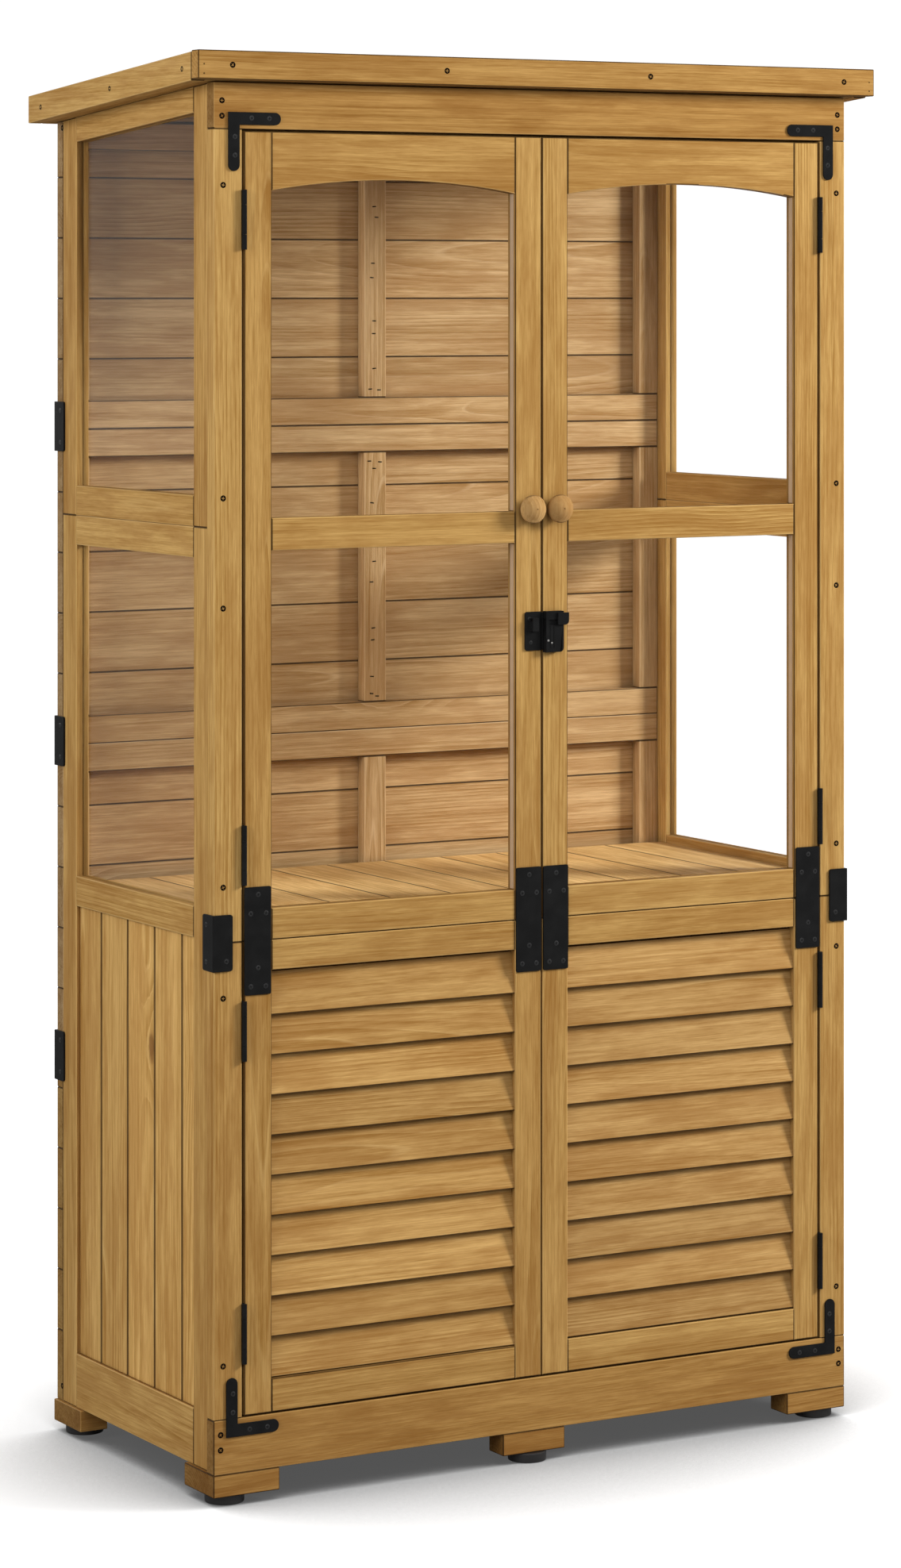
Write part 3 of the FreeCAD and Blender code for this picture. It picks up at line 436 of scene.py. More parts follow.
# What is written into a mesh of boards: name, kind and domain.
GRAIN_ATTRIBUTES = (
    ("grain", "FLOAT_VECTOR", "POINT"),
    ("tone", "FLOAT_VECTOR", "POINT"),
    ("end", "FLOAT", "FACE"),
    ("arris", "FLOAT", "FACE"),
)


def within(place, box, reach):
    """Whether a point lies in a box or close to it."""
    low, high = box
    return all(low[axis] - reach < place[axis] < high[axis] + reach for axis in range(3))


def lay_grain(piece, tone=1.0, spread=TONE_SPREAD, end_share=1.0):
    """Write into the mesh where each point lies in its own board, how light the board
    is, and which faces are end grain or arris. Each board comes from another part of a
    trunk, a little out of line with it."""
    mesh = piece.data
    chance = random.Random(piece.name)
    for name, kind, domain in GRAIN_ATTRIBUTES:
        mesh.attributes.new(name, kind, domain)
    grain, tone_and_light_values, ends, arrises = [mesh.attributes[row[0]].data for row in GRAIN_ATTRIBUTES]
    along_of = {}
    part_of = {}
    boxes = [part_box(node) for node in FRONT_BOARDS if not piece.name.startswith(node)]
    own = len(boxes)
    for number, part in enumerate(loose_parts(mesh)):
        low, high = corners(mesh, part)
        boxes.append((low, high))
        middle = (low + high) / 2
        long, wide, thick = sorted(range(3), key=lambda axis: low[axis] - high[axis])
        start = chance.uniform(0, TRUNK_LENGTH)
        angle = chance.uniform(PITH_ANGLE, math.pi - PITH_ANGLE)
        pith = chance.uniform(PITH_NEAR, PITH_FAR)
        lean = chance.uniform(-TRUNK_LEAN, TRUNK_LEAN)
        level = 1 + chance.uniform(-spread, spread)
        # The level of a node holds painted light and shade as well as the tone of its wood.
        if isinstance(tone, tuple):
            shade = [level * share for share in tone]
        else:
            shade = [(level * tone) ** power for power in STAIN_AND_SHADE_POWERS]
        for index in part:
            place = mesh.vertices[index].co
            along = place[long] - low[long]
            across = place[wide] - middle[wide] + pith * math.cos(angle)
            through = place[thick] - middle[thick] + pith * math.sin(angle)
            grain[index].vector = (along + start, across, through + along * lean)
            tone_and_light_values[index].vector = shade
            along_of[index] = long
            part_of[index] = number
    for face in mesh.polygons:
        first = face.vertices[0]
        ends[face.index].value = end_share if abs(face.normal[along_of[first]]) > END_FACE else 0.0
        value = 0.0
        if face.material_index == ARRIS_SLOT:
            # The dark of the joints, stain with painted shade in it, spreads from the joints of a node as
            # far as the pith of its last board is away, so that each node has a reach of its own.
            others = boxes[:own + part_of[first]] + boxes[own + part_of[first] + 1:]
            value = JOINT if any(within(face.center, box, pith) for box in others) else ARRIS
        arrises[face.index].value = value
    return piece


def finish(piece, body, slot, material, *nodes):
    """Give a piece its material and its body, and hide the nodes that it stands for."""
    piece.data.materials.clear()
    piece.data.materials.append(material)
    for face in piece.data.polygons:
        face.material_index = 0
    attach(piece, body)
    if nodes:
        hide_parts(*nodes)
    return piece


def gather(name, made, body, slot, material):
    """Several small pieces as one finished piece."""
    piece = joined(name, made)
    smooth(piece)
    return finish(piece, body, slot, material)


# Shader building


def feed(tree, socket, value):
    """Link an output to a socket, or write a constant into it."""
    if isinstance(value, bpy.types.NodeSocket):
        tree.links.new(value, socket)
    else:
        socket.default_value = value


def maths(tree, operation, first, second=0.0, clamp=False):
    node = tree.nodes.new("ShaderNodeMath")
    node.operation = operation
    node.use_clamp = clamp
    feed(tree, node.inputs[0], first)
    feed(tree, node.inputs[1], second)
    return node.outputs[0]


def times(tree, first, second, clamp=False):
    return maths(tree, "MULTIPLY", first, second, clamp)


def vector_maths(tree, operation, first, second=(0.0, 0.0, 0.0)):
    node = tree.nodes.new("ShaderNodeVectorMath")
    node.operation = operation
    feed(tree, node.inputs[0], first)
    feed(tree, node.inputs[1], second)
    return node.outputs["Value"] if operation == "LENGTH" else node.outputs["Vector"]


def step_between(tree, value, start, end, low=0.0, high=1.0):
    """A soft step: low up to start and high from end."""
    node = tree.nodes.new("ShaderNodeMapRange")
    node.interpolation_type = "SMOOTHSTEP"
    feed(tree, node.inputs["Value"], value)
    node.inputs["From Min"].default_value = start
    node.inputs["From Max"].default_value = end
    node.inputs["To Min"].default_value = low
    node.inputs["To Max"].default_value = high
    return node.outputs["Result"]


def mixed(tree, factor, first, second, blend="MIX"):
    """Mix two colours."""
    node = tree.nodes.new("ShaderNodeMix")
    node.data_type = "RGBA"
    node.blend_type = blend
    feed(tree, node.inputs["Factor"], factor)
    for socket, value in ((node.inputs[6], first), (node.inputs[7], second)):
        if not isinstance(value, bpy.types.NodeSocket):
            value = (*value[:3], 1.0)
        feed(tree, socket, value)
    return node.outputs[2]


def noise(tree, vector, scale=1.0, detail=2.0, roughness=0.5):
    node = tree.nodes.new("ShaderNodeTexNoise")
    feed(tree, node.inputs["Vector"], vector)
    node.inputs["Scale"].default_value = scale
    node.inputs["Detail"].default_value = detail
    node.inputs["Roughness"].default_value = roughness
    return node


def bumped(tree, height, strength, distance):
    node = tree.nodes.new("ShaderNodeBump")
    node.inputs["Strength"].default_value = strength
    node.inputs["Distance"].default_value = distance
    feed(tree, node.inputs["Height"], height)
    return node.outputs["Normal"]


def attribute(tree, name):
    node = tree.nodes.new("ShaderNodeAttribute")
    node.attribute_name = name
    return node


def object_place(tree):
    return tree.nodes.new("ShaderNodeTexCoord").outputs["Object"]


def rays_of(tree, *kinds):
    """1 for rays of these kinds and 0 for others."""
    rays = tree.nodes.new("ShaderNodeLightPath")
    share = rays.outputs[kinds[0]]
    for kind in kinds[1:]:
        share = maths(tree, "MAXIMUM", share, rays.outputs[kind])
    return share


def mix_shaders(tree, factor, first, second, surface):
    """Show the second shader as far as the factor says, and the first otherwise."""
    mix = tree.nodes.new("ShaderNodeMixShader")
    feed(tree, mix.inputs["Fac"], factor)
    tree.links.new(first, mix.inputs[1])
    tree.links.new(second, mix.inputs[2])
    tree.links.new(mix.outputs["Shader"], surface)


def new_group(name, inputs, outputs):
    """An empty node group with named sockets."""
    group = bpy.data.node_groups.new(name, "ShaderNodeTree")
    for label, kind, default in inputs:
        socket = group.interface.new_socket(label, in_out="INPUT", socket_type=kind)
        if default is not None:
            socket.default_value = default
    for label, kind in outputs:
        group.interface.new_socket(label, in_out="OUTPUT", socket_type=kind)
    return group, group.nodes.new("NodeGroupInput"), group.nodes.new("NodeGroupOutput")


def place_group(tree, group, values):
    node = tree.nodes.new("ShaderNodeGroup")
    node.node_tree = group
    for label, value in values.items():
        feed(tree, node.inputs[label], value)
    return node


def new_material(name):
    """A material with only its output and one Principled shader."""
    material = bpy.data.materials.new(name)
    material.use_nodes = True
    tree = material.node_tree
    return material, tree, tree.nodes["Principled BSDF"]


def shaded(colour, share):
    """A lighter or darker shade of a colour."""
    return tuple(value * share for value in colour)


# How far the painted shade in a corner reaches, and how strong it is. It is painted from ambient occlusion.
CORNER_REACH = 0.018
CORNER_PAINTED_SHADE = 0.45
# Knots: cells along and across the board, the share of cells that have one, and its edge.
KNOT_CELLS = (3.0, 7.0, 1.0)
KNOT_SHARE = 0.22
KNOT_EDGE = 0.07
# How far growth rings wander, and how far a knot pushes them aside.
RING_WANDER = (0.0, 0.034, 0.034)
RING_SWELL = 0.009


def softwood_figure():
    """The figure of a softwood board: growth rings that bend round knots, fibres and
    slow changes of the stain."""
    found = bpy.data.node_groups.get("Softwood figure")
    if found:
        return found
    group, start, end = new_group(
        "Softwood figure",
        (
            ("Place", "NodeSocketVector", None),
            ("Ring Width", "NodeSocketFloat", 0.004),
            ("Knots", "NodeSocketFloat", 1.0),
        ),
        (
            ("Figure", "NodeSocketFloat"),
            ("Ring Edge", "NodeSocketFloat"),
            ("Knot", "NodeSocketFloat"),
            ("Stain", "NodeSocketFloat"),
            ("Height", "NodeSocketFloat"),
        ),
    )
    place = start.outputs["Place"]

    def grained(along, across, detail, roughness=0.5):
        """Noise that is drawn out along the board."""
        stretched = vector_maths(group, "MULTIPLY", place, (along, across, across))
        return noise(group, stretched, detail=detail, roughness=roughness)

    # Knots sit at the middle of some cells, longer along the board than across it.
    cells = group.nodes.new("ShaderNodeTexVoronoi")
    cells.inputs["Scale"].default_value = 1.0
    feed(group, cells.inputs["Vector"], vector_maths(group, "MULTIPLY", place, KNOT_CELLS))
    ragged = maths(group, "SUBTRACT", grained(90.0, 160.0, 2.0).outputs["Fac"], 0.5)
    distance = maths(group, "ADD", cells.outputs["Distance"], times(group, ragged, 0.03))
    split = group.nodes.new("ShaderNodeSeparateColor")
    feed(group, split.inputs["Color"], cells.outputs["Color"])
    kept = maths(group, "LESS_THAN", split.outputs["Red"], KNOT_SHARE)
    kept = times(group, kept, start.outputs["Knots"])
    core = times(group, step_between(group, distance, KNOT_EDGE, KNOT_EDGE * 0.55), kept)
    swell = times(group, step_between(group, distance, KNOT_EDGE * 4.5, KNOT_EDGE * 0.6), kept)
    # Growth rings wander slowly along the trunk.
    slow = grained(1.1, 5.0, 3.0)
    wander = vector_maths(group, "SUBTRACT", slow.outputs["Color"], (0.5, 0.5, 0.5))
    bent = vector_maths(group, "ADD", place, vector_maths(group, "MULTIPLY", wander, RING_WANDER))
    radius = vector_maths(group, "LENGTH", vector_maths(group, "MULTIPLY", bent, (0.0, 1.0, 1.0)))
    radius = maths(group, "ADD", radius, times(group, swell, RING_SWELL))
    rings = maths(group, "FRACT", maths(group, "DIVIDE", radius, start.outputs["Ring Width"]))
    late = times(group, step_between(group, rings, 0.1, 0.8), step_between(group, rings, 1.0, 0.84))
    edge = times(group, step_between(group, rings, 0.84, 0.93), step_between(group, rings, 1.0, 0.95))
    strong = step_between(group, grained(1.5, 22.0, 2.0).outputs["Fac"], 0.35, 0.7)
    # Fibres run straight along the board, some of them in short dashes.
    fine = grained(12.0, 620.0, 3.0, 0.65)
    dashes = grained(55.0, 900.0, 2.0)
    streak = grained(2.2, 190.0, 3.0, 0.55)
    broad = grained(1.0, 55.0, 2.0)
    figure = times(group, times(group, late, strong), 0.4)
    for part, share in ((streak, 0.32), (broad, 0.2), (fine, 0.4), (dashes, 0.2)):
        level = step_between(group, part.outputs["Fac"], 0.32, 0.68)
        figure = maths(group, "ADD", figure, times(group, level, share))
    figure = maths(group, "ADD", maths(group, "SUBTRACT", figure, 0.18), times(group, swell, 0.22), True)
    blotch = grained(14.0, 70.0, 4.0, 0.6)
    cloud = grained(4.0, 20.0, 3.0)
    stain = maths(group, "ADD", times(group, blotch.outputs["Fac"], 0.45),
                  times(group, cloud.outputs["Fac"], 0.55))
    height = maths(group, "ADD", times(group, late, 0.4), times(group, fine.outputs["Fac"], 0.6))
    feed(group, end.inputs["Figure"], figure)
    feed(group, end.inputs["Ring Edge"], times(group, edge, strong))
    feed(group, end.inputs["Knot"], core)
    feed(group, end.inputs["Stain"], step_between(group, stain, 0.36, 0.62))
    feed(group, end.inputs["Height"], height)
    return group


def wood(name, light, dark, knots):
    """Stained softwood that follows the grain written into each board."""
    found = bpy.data.materials.get(name)
    if found:
        return found
    material, tree, shader = new_material(name)
    figure = place_group(
        tree,
        softwood_figure(),
        {
            "Place": attribute(tree, "grain").outputs["Vector"],
            "Ring Width": sizes().ring_width,
            "Knots": knots,
        },
    )
    c = colours()
    arris = attribute(tree, "arris").outputs["Fac"]
    wear_and_highlight = times(tree, arris, 0.32, clamp=True)
    corner = tree.nodes.new("ShaderNodeAmbientOcclusion")
    corner.samples = 4
    corner.inputs["Distance"].default_value = CORNER_REACH
    colour = mixed(tree, figure.outputs["Figure"], light, dark)
    for share, layer in (
        (times(tree, figure.outputs["Ring Edge"], 0.4), c.wood_pale),
        (step_between(tree, figure.outputs["Stain"], 0.0, 1.0, 0.45, 0.0), c.stain),
        (times(tree, figure.outputs["Knot"], 0.8), c.knot),
        # Pale arrises are wear and a painted highlight; dark ones are joints with painted shade.
        (wear_and_highlight, c.wood_pale),
        (times(tree, arris, -0.8, clamp=True), c.joint_and_shade),
        # Painted shade in corners and between boards, from ambient occlusion.
        (step_between(tree, corner.outputs["AO"], 0.15, 0.85, CORNER_PAINTED_SHADE, 0.0), c.joint_and_shade),
    ):
        colour = mixed(tree, share, colour, layer)
    end_grain = step_between(tree, attribute(tree, "end").outputs["Fac"], 0.0, 1.0, 1.0, 0.6)
    # The level of each board holds its tone and also painted light and shade.
    colour = mixed(tree, 1.0, colour, attribute(tree, "tone").outputs["Vector"], "MULTIPLY")
    colour = mixed(tree, 1.0, colour, end_grain, "MULTIPLY")
    feed(tree, shader.inputs["Base Color"], colour)
    rough = step_between(tree, figure.outputs["Figure"], 0.0, 1.0, 0.58, 0.72)
    feed(tree, shader.inputs["Roughness"], maths(tree, "SUBTRACT", rough, times(tree, wear_and_highlight, 0.4)))
    feed(tree, shader.inputs["Normal"], bumped(tree, figure.outputs["Height"], 0.35, 0.0004))
    shader.inputs["Specular IOR Level"].default_value = 0.2
    return material


def stained_wood():
    return wood("Stained softwood", colours().wood_light, colours().wood_dark, 1.0)


def knob_wood():
    return wood("Pale turned wood", colours().knob_light, colours().knob_dark, 0.0)


def clouded(name, scale, first, second, rough, fade=None, rough_fade=(0.3, 0.7), grains=None, **inputs):
    """A material in which one cloud mixes two colours and two roughnesses. Grains are
    the scale, detail, strength and distance of a fine bump. Other inputs are given by
    their names, with _ for a space."""
    found = bpy.data.materials.get(name)
    if found:
        return found
    material, tree, shader = new_material(name)
    place = object_place(tree)
    cloud = noise(tree, place, scale, 3.0).outputs["Fac"]
    share = step_between(tree, cloud, *fade) if fade else cloud
    feed(tree, shader.inputs["Base Color"], mixed(tree, share, first, second))
    feed(tree, shader.inputs["Roughness"], step_between(tree, cloud, *rough_fade, *rough))
    if grains:
        grain_scale, detail, strength, distance = grains
        height = noise(tree, place, grain_scale, detail).outputs["Fac"]
        feed(tree, shader.inputs["Normal"], bumped(tree, height, strength, distance))
    for label, value in inputs.items():
        shader.inputs[label.replace("_", " ")].default_value = value
    return material


def black_metal():
    """Black powder coat with a fine texture."""
    black = colours().black_metal
    return clouded("Black powder coat", 45.0, black, shaded(black, 1.5), (0.42, 0.58), (0.35, 0.75),
                   (0.2, 0.8), (1400.0, 2.0, 0.25, 0.0002), Specular_IOR_Level=0.1)


def black_screw():
    """Black screws whose coat is rubbed by the driver."""
    black = colours().black_metal
    return clouded("Black screws", 600.0, black, shaded(black, 3.5), (0.5, 0.3), (0.45, 0.7))


def brown_screw():
    """Brown coated screws and staples."""
    brown = colours().screw_brown
    return clouded("Brown screws", 700.0, shaded(brown, 0.5), brown, (0.5, 0.75), Specular_IOR_Level=0.05)


def bare_steel():
    steel = colours().steel
    return clouded("Bare steel", 900.0, shaded(steel, 0.7), steel, (0.25, 0.4), Metallic=1.0)


def black_plastic():
    black = colours().black_plastic
    return clouded("Black plastic", 60.0, black, shaded(black, 1.6), (0.45, 0.6),
                   grains=(900.0, 3.0, 0.2, 0.0003))


def pane_bead():
    """Plastic of the beads beside the panes."""
    bead = colours().bead
    return clouded("Pane bead", 60.0, shaded(bead, 0.8), bead, (0.4, 0.55))


def clear_pane():
    """Clear acrylic sheet that lets the light of the room into the cabinet."""
    found = bpy.data.materials.get("Clear pane")
    if found:
        return found
    material, tree, shader = new_material("Clear pane")
    tinted = (*colours().pane, 1.0)
    shader.inputs["Base Color"].default_value = tinted
    shader.inputs["Transmission Weight"].default_value = 1.0
    shader.inputs["IOR"].default_value = 1.1
    cloud = noise(tree, object_place(tree), scale=6.0, detail=3.0)
    feed(tree, shader.inputs["Roughness"], step_between(tree, cloud.outputs["Fac"], 0.35, 0.75, 0.0, 0.012))
    through = tree.nodes.new("ShaderNodeBsdfTransparent")
    through.inputs["Color"].default_value = tinted
    mix_shaders(tree, rays_of(tree, "Is Shadow Ray", "Is Diffuse Ray"), shader.outputs["BSDF"],
                through.outputs["BSDF"], tree.nodes["Material Output"].inputs["Surface"])
    return material


def roof_felt():
    """Mineral felt: dark bitumen under fine grey grains."""
    found = bpy.data.materials.get("Mineral felt")
    if found:
        return found
    material, tree, shader = new_material("Mineral felt")
    place = object_place(tree)
    grains = tree.nodes.new("ShaderNodeTexVoronoi")
    grains.inputs["Scale"].default_value = 700.0
    feed(tree, grains.inputs["Vector"], place)
    cloud = noise(tree, place, scale=9.0, detail=4.0)
    split = tree.nodes.new("ShaderNodeSeparateColor")
    feed(tree, split.inputs["Color"], grains.outputs["Color"])
    dark = shaded(colours().felt, 0.5)
    colour = mixed(tree, split.outputs["Red"], dark, shaded(colours().felt, 1.9))
    colour = mixed(tree, step_between(tree, cloud.outputs["Fac"], 0.3, 0.7, 0.0, 0.35), colour, dark)
    feed(tree, shader.inputs["Base Color"], colour)
    feed(tree, shader.inputs["Roughness"], step_between(tree, split.outputs["Red"], 0.0, 1.0, 0.8, 0.95))
    feed(tree, shader.inputs["Normal"], bumped(tree, grains.outputs["Distance"], 0.6, 0.0008))
    return material


# Pieces

# Painted light as a level for red, green and blue, where it differs from the frame's: it makes the boards
# inside, the shelf and the side boards lighter.
INSIDE_PAINTED_LIGHT = (1.05, 1.15, 1.7)
SHELF_PAINTED_LIGHT = (1.55, 1.75, 2.3)
SIDE_BOARDS_PAINTED_LIGHT = (1.36, 1.38, 1.42)
# How light the boards of each node are, beside the posts of the upper front. Besides the tone of the wood,
# these levels hold painted light and shade: the header is darker, as if shaded by the fascia, and the lower
# boards grow darker towards the ground.
TONES_AND_PAINTED_LIGHT = {
    "header_board": 0.74,
    "front_fascia": 0.84,
    "left_fascia": 1.1,
    "base_board": 0.78,
    "foot_blocks": 0.68,
    "left_upper_post": 1.06,
    "left_lower_post": 0.94,
    "right_lower_post": 0.94,
    "left_side_upper_frame": 0.94,
    "left_side_boards": SIDE_BOARDS_PAINTED_LIGHT,
    "right_side_boards": SIDE_BOARDS_PAINTED_LIGHT,
    "left_door_upper_frame": 0.96,
    "right_door_upper_frame": 0.98,
    "left_door_arch_rail": 0.94,
    "right_door_arch_rail": 0.97,
    "left_door_lower_frame": 0.9,
    "right_door_lower_frame": 0.96,
    "left_door_louvres": (1.01, 1.0, 1.06),
    "right_door_louvres": (0.94, 0.94, 1.06),
    "back_top_boards": INSIDE_PAINTED_LIGHT,
    "back_upper_boards": INSIDE_PAINTED_LIGHT,
    "back_lower_boards": INSIDE_PAINTED_LIGHT,
    "back_top_frame": INSIDE_PAINTED_LIGHT,
    "back_upper_frame": INSIDE_PAINTED_LIGHT,
    "back_lower_frame": INSIDE_PAINTED_LIGHT,
    "shelf_slats": SHELF_PAINTED_LIGHT,
}
# How much the boards of a node differ, where that is more or less than usual.
SPREADS = {
    "left_side_boards": 0.12,
    "right_side_boards": 0.12,
    "left_door_louvres": 0.1,
    "right_door_louvres": 0.1,
    "back_top_boards": 0.08,
    "back_upper_boards": 0.08,
    "shelf_slats": 0.08,
}
# How much the end grain shows on a node, where it is less than usual.
END_SHARES = {"front_fascia": 0.15}


def timber(node, body, arris, faces=None):
    """A wooden node as separate boards with eased arrises and their own grain. Where
    the boards have grooves, faces is the axis across their two faces."""
    piece = copy_node(node, node + "_timber")
    if faces is None:
        ease(piece, arris)
    else:
        ease_faces(piece, arris, faces)
    smooth(piece)
    lay_grain(piece, TONES_AND_PAINTED_LIGHT.get(node, 1.0), SPREADS.get(node, TONE_SPREAD), END_SHARES.get(node, 1.0))
    return finish(piece, body, "stained_softwood", stained_wood(), node)


def pane(node, body):
    """The clear panes of a node, with polished edges."""
    piece = copy_node(node, node + "_sheet")
    ease(piece, sizes().pane_edge)
    return finish(piece, body, "clear_pane", clear_pane(), node)


# Edges shorter than this run through the thickness of a sheet.
SHEET = 3 * MM
# How far the edges of small things are rounded, and the steps of small round ones.
GLIDE_EDGE = 1.5 * MM
RIDGE_EDGE = 0.4 * MM
LIP_EDGE = 0.3 * MM
BEAD_EDGE = 0.2 * MM
STAPLE_EDGE = 0.2 * MM
HEAD_STEPS = 20


def hardware(node, body, corner=0.0):
    """A metal node with rounded edges and the black coat, and the boxes of its solids.
    The corners of its sheets can be rounded too."""
    piece = copy_node(node, node + "_metal", flat=0.2)
    boxes = boxes_of(piece)
    if corner:
        edit_with(piece, "EDGE", lambda edge: edge.calc_length() < SHEET)
        bpy.ops.mesh.bevel(offset=corner, segments=4, affect="EDGES")
        leave_edit()
    ease(piece, sizes().metal_edge, angle=50)
    smooth(piece)
    finish(piece, body, "black_metal", black_metal(), node)
    return boxes


# Turns that make a screw head face each way.
FRONT = 0.0
LEFT = math.radians(-90)
RIGHT = math.radians(90)
# A screw head, in radii: (radius, forward), and the half length and width of its recess.
SCREW_PROFILE = ((0, -0.4), (0.6, -0.4), (1, -0.03), (1, 0.02), (0.9, 0.07), (0, 0.07))
RECESS_LONG = 0.58
RECESS_SHORT = 0.13
RECESS_DEPTH = 0.2


def at(across, height, forward=0.0):
    """A point given in millimetres: from the left end of the front frame, above the
    ground and in front of the boards' face."""
    return Vector((LEFT_END + across * MM, FACE_Y - forward * MM, height * MM))


def scaled(profile, unit):
    return [(radius * unit, forward * unit) for radius, forward in profile]


def screw_pattern(radius):
    """One countersunk head with a cross recess, at the origin and facing the front."""
    head = turned("screw_pattern", scaled(SCREW_PROFILE, radius), HEAD_STEPS)
    for long, short in ((RECESS_LONG, RECESS_SHORT), (RECESS_SHORT, RECESS_LONG)):
        corner = Vector((long, RECESS_DEPTH, short)) * radius
        arm = block("screw_recess", -corner, corner)
        modify(head, "BOOLEAN", operation="DIFFERENCE", object=arm)
        remove(arm)
    return head


def spot(x, y, z, facing=FRONT):
    """A place for a screw, and the way that its head faces."""
    return Vector((x, y, z)), facing


def set_screws(name, body, material, radius, spots):
    """Copies of one screw head, turned at random, as one piece."""
    chance = random.Random(name)
    head = screw_pattern(radius)
    heads = []
    for place, facing in spots:
        copy = copy_at(head, (0, 0, 0), (0, chance.uniform(0, math.pi / 2), 0))
        heads.append(copy_at(copy, place, (0, 0, facing)))
        remove(copy)
    remove(head)
    return gather(name, heads, body, "black_metal", material)


class CABINET_OT_front_frame(bpy.types.Operator):
    """Base board, header, door stop and the four lengths of post of the front"""

    bl_idname = "cabinet.front_frame"
    bl_label = "Front frame"

    def execute(self, context):
        for node in (*FRONT_BOARDS, "door_stop"):
            timber(node, "carcass", sizes().arris)
        return {"FINISHED"}


class CABINET_OT_side_panels(bpy.types.Operator):
    """Frames, boards and clear panes of both sides"""

    bl_idname = "cabinet.side_panels"
    bl_label = "Side panels"

    def execute(self, context):
        for side in SIDES:
            for node in ("_side_upper_frame", "_side_lower_frame"):
                timber(side + node, "carcass", sizes().arris, faces=0)
            timber(side + "_side_boards", "carcass", sizes().side_board_arris, faces=0)
            pane(side + "_side_upper_pane", "carcass")
            pane(side + "_side_lower_pane", "carcass")
        return {"FINISHED"}


class CABINET_OT_back_panels(bpy.types.Operator):
    """Boards and inner frames of the four back panels"""

    bl_idname = "cabinet.back_panels"
    bl_label = "Back panels"

    def execute(self, context):
        for place in ("bottom", "lower", "upper", "top"):
            timber("back_%s_boards" % place, "carcass", sizes().board_arris)
            timber("back_%s_frame" % place, "carcass", sizes().arris)
        return {"FINISHED"}


class CABINET_OT_shelf_and_floor(bpy.types.Operator):
    """Slats of the shelf and of the floor, and their bearers"""

    bl_idname = "cabinet.shelf_and_floor"
    bl_label = "Shelf and floor"

    def execute(self, context):
        for node in ("shelf_slats", "floor_slats", "slat_bearers"):
            timber(node, "carcass", sizes().board_arris)
        return {"FINISHED"}


class CABINET_OT_roof(bpy.types.Operator):
    """Fascias, battens, boards and felt of the roof"""

    bl_idname = "cabinet.roof"
    bl_label = "Roof"

    def execute(self, context):
        for node in ("front_fascia", "left_fascia", "right_fascia", "rear_fascia", "roof_frame",
                     "roof_boards"):
            timber(node, "carcass", sizes().arris)
        piece = copy_node("roof_felt", "roof_felt_sheet")
        finish(piece, "carcass", "roof_felt", roof_felt(), "roof_felt")
        return {"FINISHED"}


class CABINET_OT_feet(bpy.types.Operator):
    """Foot blocks and the glides under them"""

    bl_idname = "cabinet.feet"
    bl_label = "Feet"

    def execute(self, context):
        timber("foot_blocks", "carcass", sizes().arris)
        piece = copy_node("foot_glides", "foot_glides_plastic", flat=0.2)
        ease(piece, GLIDE_EDGE, segments=3, angle=50)
        smooth(piece)
        finish(piece, "carcass", "black_plastic", black_plastic(), "foot_glides")
        return {"FINISHED"}


class CABINET_OT_door_frames(bpy.types.Operator):
    """Frames and arched rails of both doors"""

    bl_idname = "cabinet.door_frames"
    bl_label = "Door frames"

    def execute(self, context):
        for side in SIDES:
            for part in ("_door_upper_frame", "_door_arch_rail", "_door_lower_frame"):
                timber(side + part, side + "_door", sizes().arris, faces=1)
        return {"FINISHED"}


class CABINET_OT_louvres(bpy.types.Operator):
    """Sloping slats of the lower doors"""

    bl_idname = "cabinet.louvres"
    bl_label = "Louvres"

    def execute(self, context):
        for side in SIDES:
            timber(side + "_door_louvres", side + "_door", sizes().board_arris)
        return {"FINISHED"}


# Glazing beads of the left door, in millimetres: across and how far they reach inwards,
# their ends above the ground, and their front and back.
BEAD_LINES = ((72.0, 1.0), (385.0, -1.0))
BEAD_HEIGHTS = ((655.5, 1048.5), (1086.5, 1447.0))
BEAD_FRONT = -3.5
BEAD_BACK = -10.5


class CABINET_OT_door_panes(bpy.types.Operator):
    """Clear panes of the upper doors and the thin beads beside them"""

    bl_idname = "cabinet.door_panes"
    bl_label = "Door panes"

    def execute(self, context):
        for side in SIDES:
            pane(side + "_door_panes", side + "_door")
            beads = []
            for across, inward in BEAD_LINES:
                for bottom, top in BEAD_HEIGHTS:
                    low = at(min(across, across + inward), bottom, BEAD_FRONT)
                    high = at(max(across, across + inward), top, BEAD_BACK)
                    if side == "right":
                        low.x, high.x = -high.x, -low.x
                    bead = block("bead", low, high)
                    ease(bead, BEAD_EDGE)
                    beads.append(bead)
            gather(side + "_door_beads", beads, side + "_door", "clear_pane", pane_bead())
        return {"FINISHED"}


class CABINET_OT_hinges(bpy.types.Operator):
    """Butt hinges of both doors"""

    bl_idname = "cabinet.hinges"
    bl_label = "Hinges"

    def execute(self, context):
        hardware("hinge_frame_leaves", "carcass")
        for side in SIDES:
            hardware(side + "_hinge_door_leaves", side + "_door")
        return {"FINISHED"}


# Where the screws sit, in millimetres: across and up from the middle of a plate, and in
# and down from the outer corner of a brace.
PLATE_SCREWS = ((0.4, 51), (-8.8, 30.3), (10.2, 30.2), (0.4, -29.7), (-8.8, -50.1), (9.8, -50.3))
BRACE_SCREWS = ((28.5, 6.4), (50.5, 6.5), (7.8, 27.1), (7.8, 47.6))
# The upper braces are above this height and the lower ones below it.
BRACE_PARTING = 1.0


